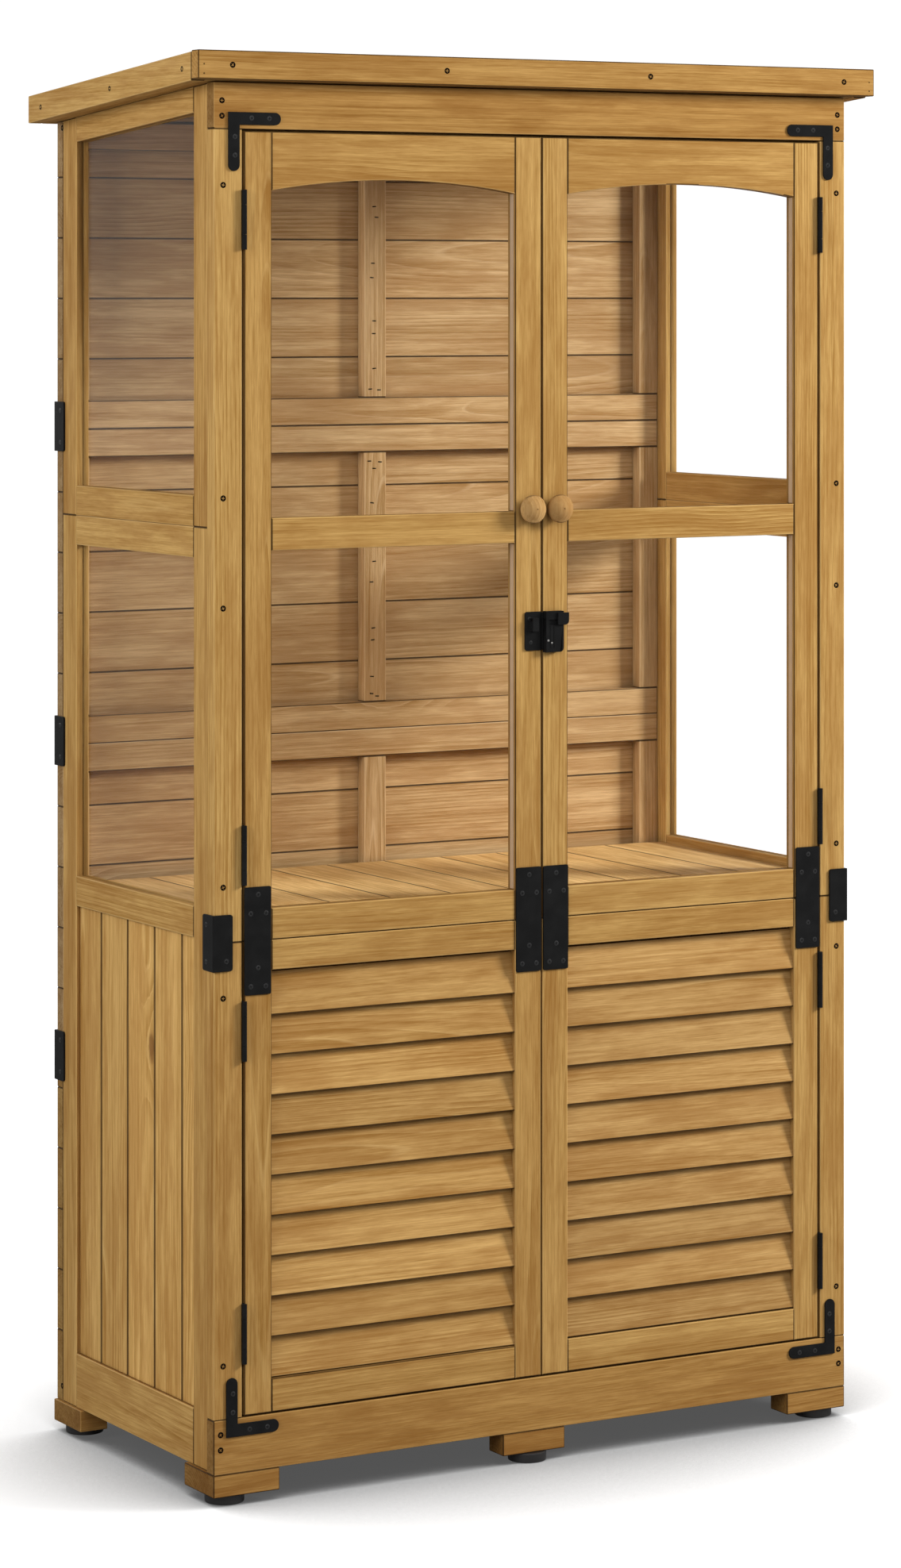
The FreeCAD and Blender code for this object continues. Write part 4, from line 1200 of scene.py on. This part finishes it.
class CABINET_OT_plates_and_braces(bpy.types.Operator):
    """Mending plates over the door joints and braces in the corners of the front"""

    bl_idname = "cabinet.plates_and_braces"
    bl_label = "Plates and braces"

    def execute(self, context):
        for side in SIDES:
            spots = []
            for low, high in hardware(side + "_door_plates", side + "_door"):
                middle = (low + high) / 2
                for across, up in PLATE_SCREWS:
                    spots.append(spot(middle.x + across * MM, low.y, middle.z + up * MM))
            set_screws(side + "_plate_screws", side + "_door", black_screw(), sizes().metal_screw, spots)
        spots = []
        for low, high in hardware("corner_braces", "carcass"):
            left = low.x < 0
            top = low.z > BRACE_PARTING
            for inward, down in BRACE_SCREWS:
                x = low.x + inward * MM if left else high.x - inward * MM
                z = high.z - down * MM if top else low.z + down * MM
                spots.append(spot(x, low.y, z))
        set_screws("brace_screws", "carcass", black_screw(), sizes().metal_screw, spots)
        return {"FINISHED"}


# Screws of the brackets, in millimetres. Front brackets: in and up on the face of the
# post, then back and up on the side. Rear brackets: back, and shares of the height.
POST_FACE_SCREW = (8, 11)
POST_SIDE_SCREWS = ((16, 10), (16, 51))
REAR_BRACKET_BACK = 9
REAR_BRACKET_SHARES = (0.18, 0.82)


class CABINET_OT_brackets(bpy.types.Operator):
    """Angle brackets round the front posts and over the joints of the sides"""

    bl_idname = "cabinet.brackets"
    bl_label = "Angle brackets"

    def execute(self, context):
        spots = []
        inward, face_up = POST_FACE_SCREW
        for low, high in hardware("front_angle_brackets", "carcass", sizes().bracket_corner):
            left = low.x < 0
            x = high.x - inward * MM if left else low.x + inward * MM
            spots.append(spot(x, low.y, low.z + face_up * MM))
            x, facing = (low.x, LEFT) if left else (high.x, RIGHT)
            for back, up in POST_SIDE_SCREWS:
                spots.append(spot(x, low.y + back * MM, low.z + up * MM, facing))
        for low, high in hardware("rear_angle_brackets", "carcass", sizes().bracket_corner):
            x, facing = (low.x, LEFT) if low.x < 0 else (high.x, RIGHT)
            for share in REAR_BRACKET_SHARES:
                z = low.z + (high.z - low.z) * share
                spots.append(spot(x, low.y + REAR_BRACKET_BACK * MM, z, facing))
        set_screws("bracket_screws", "carcass", black_screw(), sizes().metal_screw, spots)
        return {"FINISHED"}


# Details of the latch, in millimetres from the left end and up: the screws of the
# keeper and the lip beside it, the ridges with their widths, and the rivets.
KEEPER_SHEET = 2.0
KEEPER_SCREW = 2.2 * MM
KEEPER_SCREWS = ((402.6, 962.6), (404.4, 935.6))
LIP_START = 417.0
LIP_END = 421.2
LIP_BACK = 0.2
LIP_INSET = 1
LATCH_RIDGES = ((426.6, 3.2), (431.6, 1.6))
RIDGE_PROUD = 0.5 * MM
RIDGE_BOTTOM = 5
# The ridges end under the slot, so that the stem and the tab of the bolt pass over them.
RIDGE_TOP = 16.5 * MM
LATCH_RIVETS = ((424.2, 937.3), (428.8, 934.6))
RIVET_PROFILE = ((0, -0.3), (1.4, -0.3), (1.4, 0.25), (1.1, 0.6), (0.55, 0.8), (0, 0.85))


class CABINET_OT_latch(bpy.types.Operator):
    """Keeper, housing and sliding bolt of the latch"""

    bl_idname = "cabinet.latch"
    bl_label = "Latch"

    def execute(self, context):
        low, high = hardware("latch_keeper", "left_door")[0]
        spots = [(at(across, height, KEEPER_SHEET), FRONT) for across, height in KEEPER_SCREWS]
        set_screws("keeper_screws", "left_door", black_screw(), KEEPER_SCREW, spots)
        lip = block("keeper_lip", at(LIP_START, low.z / MM + LIP_INSET, KEEPER_SHEET),
                    at(LIP_END, high.z / MM - LIP_INSET, LIP_BACK))
        ease(lip, LIP_EDGE)
        finish(lip, "left_door", "black_metal", black_metal())
        low, high = hardware("latch_housing", "right_door")[0]
        ridges = []
        for across, width in LATCH_RIDGES:
            foot = at(across, low.z / MM + RIDGE_BOTTOM)
            ridge = block("latch_ridge", (foot.x, low.y - RIDGE_PROUD, foot.z),
                          (foot.x + width * MM, low.y + RIDGE_PROUD, high.z - RIDGE_TOP))
            ease(ridge, RIDGE_EDGE)
            ridges.append(ridge)
        gather("latch_ridges", ridges, "right_door", "black_metal", black_metal())
        rivet = turned("rivet_pattern", scaled(RIVET_PROFILE, MM), HEAD_STEPS)
        rivets = []
        for across, height in LATCH_RIVETS:
            place = at(across, height)
            rivets.append(copy_at(rivet, (place.x, low.y, place.z)))
        remove(rivet)
        gather("latch_rivets", rivets, "right_door", "black_metal", bare_steel())
        hardware("latch_bolt", "bolt")
        return {"FINISHED"}


# Screws of the front, in millimetres: in from each end, and up.
FRONT_SCREWS = (
    (11.7, (155.3, 559.2, 681.1, 987.6, 1108.6, 1452.8)),
    (10.2, (1528.9, 1545.8)),
    (8.6, (63.4, 80.2)),
)
# Screws of the front fascia: how many, the first one from its end, and their pitch.
FASCIA_SCREWS = 4
FASCIA_START = 42.2
FASCIA_PITCH = 270.8
# Screws of the side fascias: back along them and below their sloping upper edge. The
# fascias are the widest place of the roof, so their screws are sunk.
SIDE_FASCIA_SCREWS = (22.9, 205.4, 390.0)
SIDE_FASCIA_DROP = 0.0168
SIDE_FASCIA_WIDTH = 0.032
SUNK = 0.2 * MM
# Screws through the sides into the back: up, and behind the face of the front.
REAR_SCREWS = (53.0, 1528.0)
REAR_SCREW_BACK = 398
# Nails at the ends of the front fascia: in from its end, and down.
NAIL_INSET = 7.2 * MM
NAIL_DROPS = (15.7, 26.0)


class CABINET_OT_screws(bpy.types.Operator):
    """Screws and nails in the boards"""

    bl_idname = "cabinet.screws"
    bl_label = "Screws"

    def execute(self, context):
        width = (RIGHT_END - LEFT_END) / MM
        spots = []
        for inset, heights in FRONT_SCREWS:
            for height in heights:
                spots.append((at(inset, height), FRONT))
                spots.append((at(width - inset, height), FRONT))
        front_low, front_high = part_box("front_fascia")
        for number in range(FASCIA_SCREWS):
            x = front_low.x + (FASCIA_START + FASCIA_PITCH * number) * MM
            spots.append(spot(x, front_low.y, (front_low.z + front_high.z) / 2))
        low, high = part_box("left_fascia")
        fall = (high.z - low.z - SIDE_FASCIA_WIDTH) / (high.y - low.y)
        for back in SIDE_FASCIA_SCREWS:
            y = low.y + back * MM
            z = high.z - SIDE_FASCIA_DROP - fall * back * MM
            spots.append(spot(low.x + SUNK, y, z, LEFT))
            spots.append(spot(-low.x - SUNK, y, z, RIGHT))
        back_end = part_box("back_top_boards")[0].x
        for height in REAR_SCREWS:
            place = at(0, height, -REAR_SCREW_BACK)
            spots.append(spot(back_end, place.y, place.z, LEFT))
            spots.append(spot(-back_end, place.y, place.z, RIGHT))
        set_screws("board_screws", "carcass", brown_screw(), sizes().wood_screw, spots)
        spots = []
        for x in (front_low.x + NAIL_INSET, front_high.x - NAIL_INSET):
            for drop in NAIL_DROPS:
                spots.append(spot(x, front_low.y, front_high.z - drop * MM))
        set_screws("fascia_nails", "carcass", brown_screw(), sizes().nail, spots)
        return {"FINISHED"}


# Staples in the battens of the back, in millimetres: from the left end and up.
STAPLES = (
    (404.8, 1130.7), (419.4, 1129.5), (411.4, 1121.7), (408.4, 1080.0), (411.4, 1009.0),
    (407.7, 984.1), (410.3, 928.2), (409.5, 913.8), (408.4, 869.5), (407.7, 848.7),
    (415.4, 845.4), (411.4, 1300.7), (410.8, 1285.3), (411.4, 1243.0), (405.9, 1218.0),
    (418.0, 1216.9), (408.1, 1353.2), (409.7, 1370.6), (414.7, 1426.4), (411.4, 1439.4),
)
# Half the length, depth and width of a staple's crown, and how far one may be askew.
CROWN = Vector((2.6, 0.25, 0.7)) * MM
ASKEW = 0.15


class CABINET_OT_staples(bpy.types.Operator):
    """Staples that hold the battens of the back"""

    bl_idname = "cabinet.staples"
    bl_label = "Staples"

    def execute(self, context):
        chance = random.Random("staples")
        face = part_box("back_upper_frame")[0].y
        crown = block("staple_pattern", -CROWN, CROWN)
        ease(crown, STAPLE_EDGE)
        made = []
        for across, height in STAPLES:
            place = at(across, height)
            place.y = face
            made.append(copy_at(crown, place, (0, chance.uniform(-ASKEW, ASKEW), 0)))
        remove(crown)
        gather("batten_staples", made, "carcass", "black_metal", brown_screw())
        return {"FINISHED"}


# A knob in millimetres: (radius, distance forward).
KNOB_PROFILE = (
    (0, 0), (7.5, 0), (7.4, 3.5), (8.2, 5.6), (10.5, 6.8), (14.2, 8.0), (15.7, 9.2), (16.2, 11.0),
    (16.1, 13.2), (15.2, 14.8), (13.8, 15.6), (12.9, 15.9), (11.0, 17.6), (8.0, 19.3), (4.5, 20.5),
    (1.2, 20.9), (0.8, 20.3), (0, 20.3),
)


class CABINET_OT_knobs(bpy.types.Operator):
    """The two turned knobs"""

    bl_idname = "cabinet.knobs"
    bl_label = "Knobs"

    def execute(self, context):
        knob = turned("knob_pattern", scaled(KNOB_PROFILE, MM))
        for side in SIDES:
            node = side + "_knob"
            low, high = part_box(node)
            piece = copy_at(knob, ((low.x + high.x) / 2, high.y, (low.z + high.z) / 2))
            rename(piece, node + "_turned")
            smooth(piece)
            lay_grain(piece)
            finish(piece, side + "_door", "pale_wood", knob_wood(), node)
        remove(knob)
        return {"FINISHED"}


# The lamps: name, place, level and width. All of them face one point of the front.
LAMPS = (
    ("key", (3.1, -1.9, 2.3), 1.3, 1.0),
    ("fill_left", (-3.4, -0.8, 1.8), 0.62, 2.0),
    ("fill_front", (-1.0, -3.6, 2.4), 0.28, 2.0),
    ("fill_back", (-0.5, 3.6, 1.0), 0.3, 2.0),
)
LAMP_TARGET = Vector((0, -0.2, 1.2))
# The room: how much light it gives, and how white it looks.
ROOM_LIGHT = 0.08
ROOM_WHITE = 1.04
# The floor: its width, its grey under the lamps, its bounce, its glow, and how its painted shadow falls
# off; the shadow is painted from ambient occlusion.
FLOOR_SIZE = 60
FLOOR_GREY = (0.45, 0.45, 0.45)
FLOOR_BOUNCE = (0.3, 0.3, 0.3)
FLOOR_GLOW = 1.0
SHADOW_REACH = 0.55
SHADOW_GAIN = 1.12
SHADOW_POWER = 2.0
SHADOW_FLOOR = 0.085
# The camera, from the rows of the photograph.
FOCAL_PIXELS = 5775.74
PICTURE_HEIGHT = 1976
HORIZON_ROW = 373.0
SENSOR = 36.0
FAR_END = 100


def softbox(name, place, level, width):
    """A soft square lamp. At its level a white face square to it at the target looks
    that much of white."""
    deselect()
    bpy.ops.object.light_add(type="AREA", location=place)
    light = bpy.context.object
    light.name = name
    reach = LAMP_TARGET - Vector(place)
    light.data.energy = level * math.pi * math.pi * reach.length_squared
    light.data.size = width
    light.rotation_euler = reach.to_track_quat("-Z", "Y").to_euler()
    light.visible_camera = False
    light.visible_glossy = False
    light.visible_transmission = False


def white_floor():
    """A floor that the camera sees white, with a shadow painted from ambient occlusion where the cabinet is
    near.
    """
    material, tree, shader = new_material("White floor")
    shader.inputs["Roughness"].default_value = 0.9
    shader.inputs["Specular IOR Level"].default_value = 0.0
    seen = rays_of(tree, "Is Camera Ray", "Is Transmission Ray")
    near = tree.nodes.new("ShaderNodeAmbientOcclusion")
    near.samples = 12
    near.inputs["Distance"].default_value = SHADOW_REACH
    # Painted shadow: ambient occlusion darkens the floor's glow and grey where the cabinet is near.
    open_share = maths(tree, "POWER", times(tree, near.outputs["AO"], SHADOW_GAIN), SHADOW_POWER)
    open_share = maths(tree, "MAXIMUM", maths(tree, "MINIMUM", open_share, 1.0), SHADOW_FLOOR)
    grey = mixed(tree, 1.0, FLOOR_GREY, open_share, "MULTIPLY")
    feed(tree, shader.inputs["Base Color"], mixed(tree, seen, FLOOR_BOUNCE, grey))
    feed(tree, shader.inputs["Emission Color"], mixed(tree, 1.0, open_share, seen, "MULTIPLY"))
    shader.inputs["Emission Strength"].default_value = FLOOR_GLOW
    return material


def backdrop(tree, strength):
    """White all round, at one strength."""
    node = tree.nodes.new("ShaderNodeBackground")
    node.inputs["Color"].default_value = (1.0, 1.0, 1.0, 1.0)
    node.inputs["Strength"].default_value = strength
    return node.outputs["Background"]


class CABINET_OT_stage(bpy.types.Operator):
    """Floor, room, lamps and camera"""

    bl_idname = "cabinet.stage"
    bl_label = "Stage"

    def execute(self, context):
        deselect()
        bpy.ops.mesh.primitive_plane_add(size=FLOOR_SIZE)
        floor = settle("floor")
        floor.data.materials.append(white_floor())

        world = bpy.data.worlds.new("Studio")
        context.scene.world = world
        world.use_nodes = True
        tree = world.node_tree
        mix_shaders(tree, rays_of(tree, "Is Camera Ray", "Is Transmission Ray", "Is Glossy Ray"),
                    backdrop(tree, ROOM_LIGHT), backdrop(tree, ROOM_WHITE),
                    tree.nodes["World Output"].inputs["Surface"])
        for lamp in LAMPS:
            softbox(*lamp)

        deselect()
        bpy.ops.object.camera_add(location=sizes().camera_place,
                                  rotation=(math.radians(90), 0, -sizes().camera_turn))
        camera = context.object
        camera.data.sensor_fit = "AUTO"
        camera.data.sensor_width = SENSOR
        camera.data.lens = FOCAL_PIXELS / PICTURE_HEIGHT * SENSOR
        camera.data.shift_y = -(PICTURE_HEIGHT / 2 - HORIZON_ROW) / PICTURE_HEIGHT
        camera.data.clip_end = FAR_END
        context.scene.camera = camera
        context.scene.view_settings.view_transform = "Standard"
        return {"FINISHED"}


PIECES = (
    CABINET_OT_front_frame,
    CABINET_OT_side_panels,
    CABINET_OT_back_panels,
    CABINET_OT_shelf_and_floor,
    CABINET_OT_roof,
    CABINET_OT_feet,
    CABINET_OT_door_frames,
    CABINET_OT_louvres,
    CABINET_OT_door_panes,
    CABINET_OT_hinges,
    CABINET_OT_plates_and_braces,
    CABINET_OT_brackets,
    CABINET_OT_latch,
    CABINET_OT_screws,
    CABINET_OT_staples,
    CABINET_OT_knobs,
    CABINET_OT_stage,
)


class CABINET_PT_pieces(bpy.types.Panel):
    """Lists the pieces of the cabinet, its sizes and its colours"""

    bl_idname = "CABINET_PT_pieces"
    bl_label = "Garden storage cabinet"
    bl_space_type = "VIEW_3D"
    bl_region_type = "UI"
    bl_category = "Cabinet"

    def draw(self, context):
        layout = self.layout
        for piece in PIECES:
            layout.operator(piece.bl_idname)
        for group in (context.scene.cabinet_sizes, context.scene.cabinet_colours):
            box = layout.box()
            for name in group.__annotations__:
                box.prop(group, name)


CLASSES = (CabinetSizes, CabinetColours) + PIECES + (CABINET_PT_pieces,)


def register():
    for made in CLASSES:
        bpy.utils.register_class(made)
    bpy.types.Scene.cabinet_sizes = bpy.props.PointerProperty(type=CabinetSizes)
    bpy.types.Scene.cabinet_colours = bpy.props.PointerProperty(type=CabinetColours)


def unregister():
    del bpy.types.Scene.cabinet_sizes
    del bpy.types.Scene.cabinet_colours
    for made in reversed(CLASSES):
        bpy.utils.unregister_class(made)


def main():
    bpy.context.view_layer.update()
    register()
    bpy.ops.cabinet.front_frame()
    bpy.ops.cabinet.side_panels()
    bpy.ops.cabinet.back_panels()
    bpy.ops.cabinet.shelf_and_floor()
    bpy.ops.cabinet.roof()
    bpy.ops.cabinet.feet()
    bpy.ops.cabinet.door_frames()
    bpy.ops.cabinet.louvres()
    bpy.ops.cabinet.door_panes()
    bpy.ops.cabinet.hinges()
    bpy.ops.cabinet.plates_and_braces()
    bpy.ops.cabinet.brackets()
    bpy.ops.cabinet.latch()
    bpy.ops.cabinet.screws()
    bpy.ops.cabinet.staples()
    bpy.ops.cabinet.knobs()
    bpy.ops.cabinet.stage()


if __name__ == "__main__":
    main()
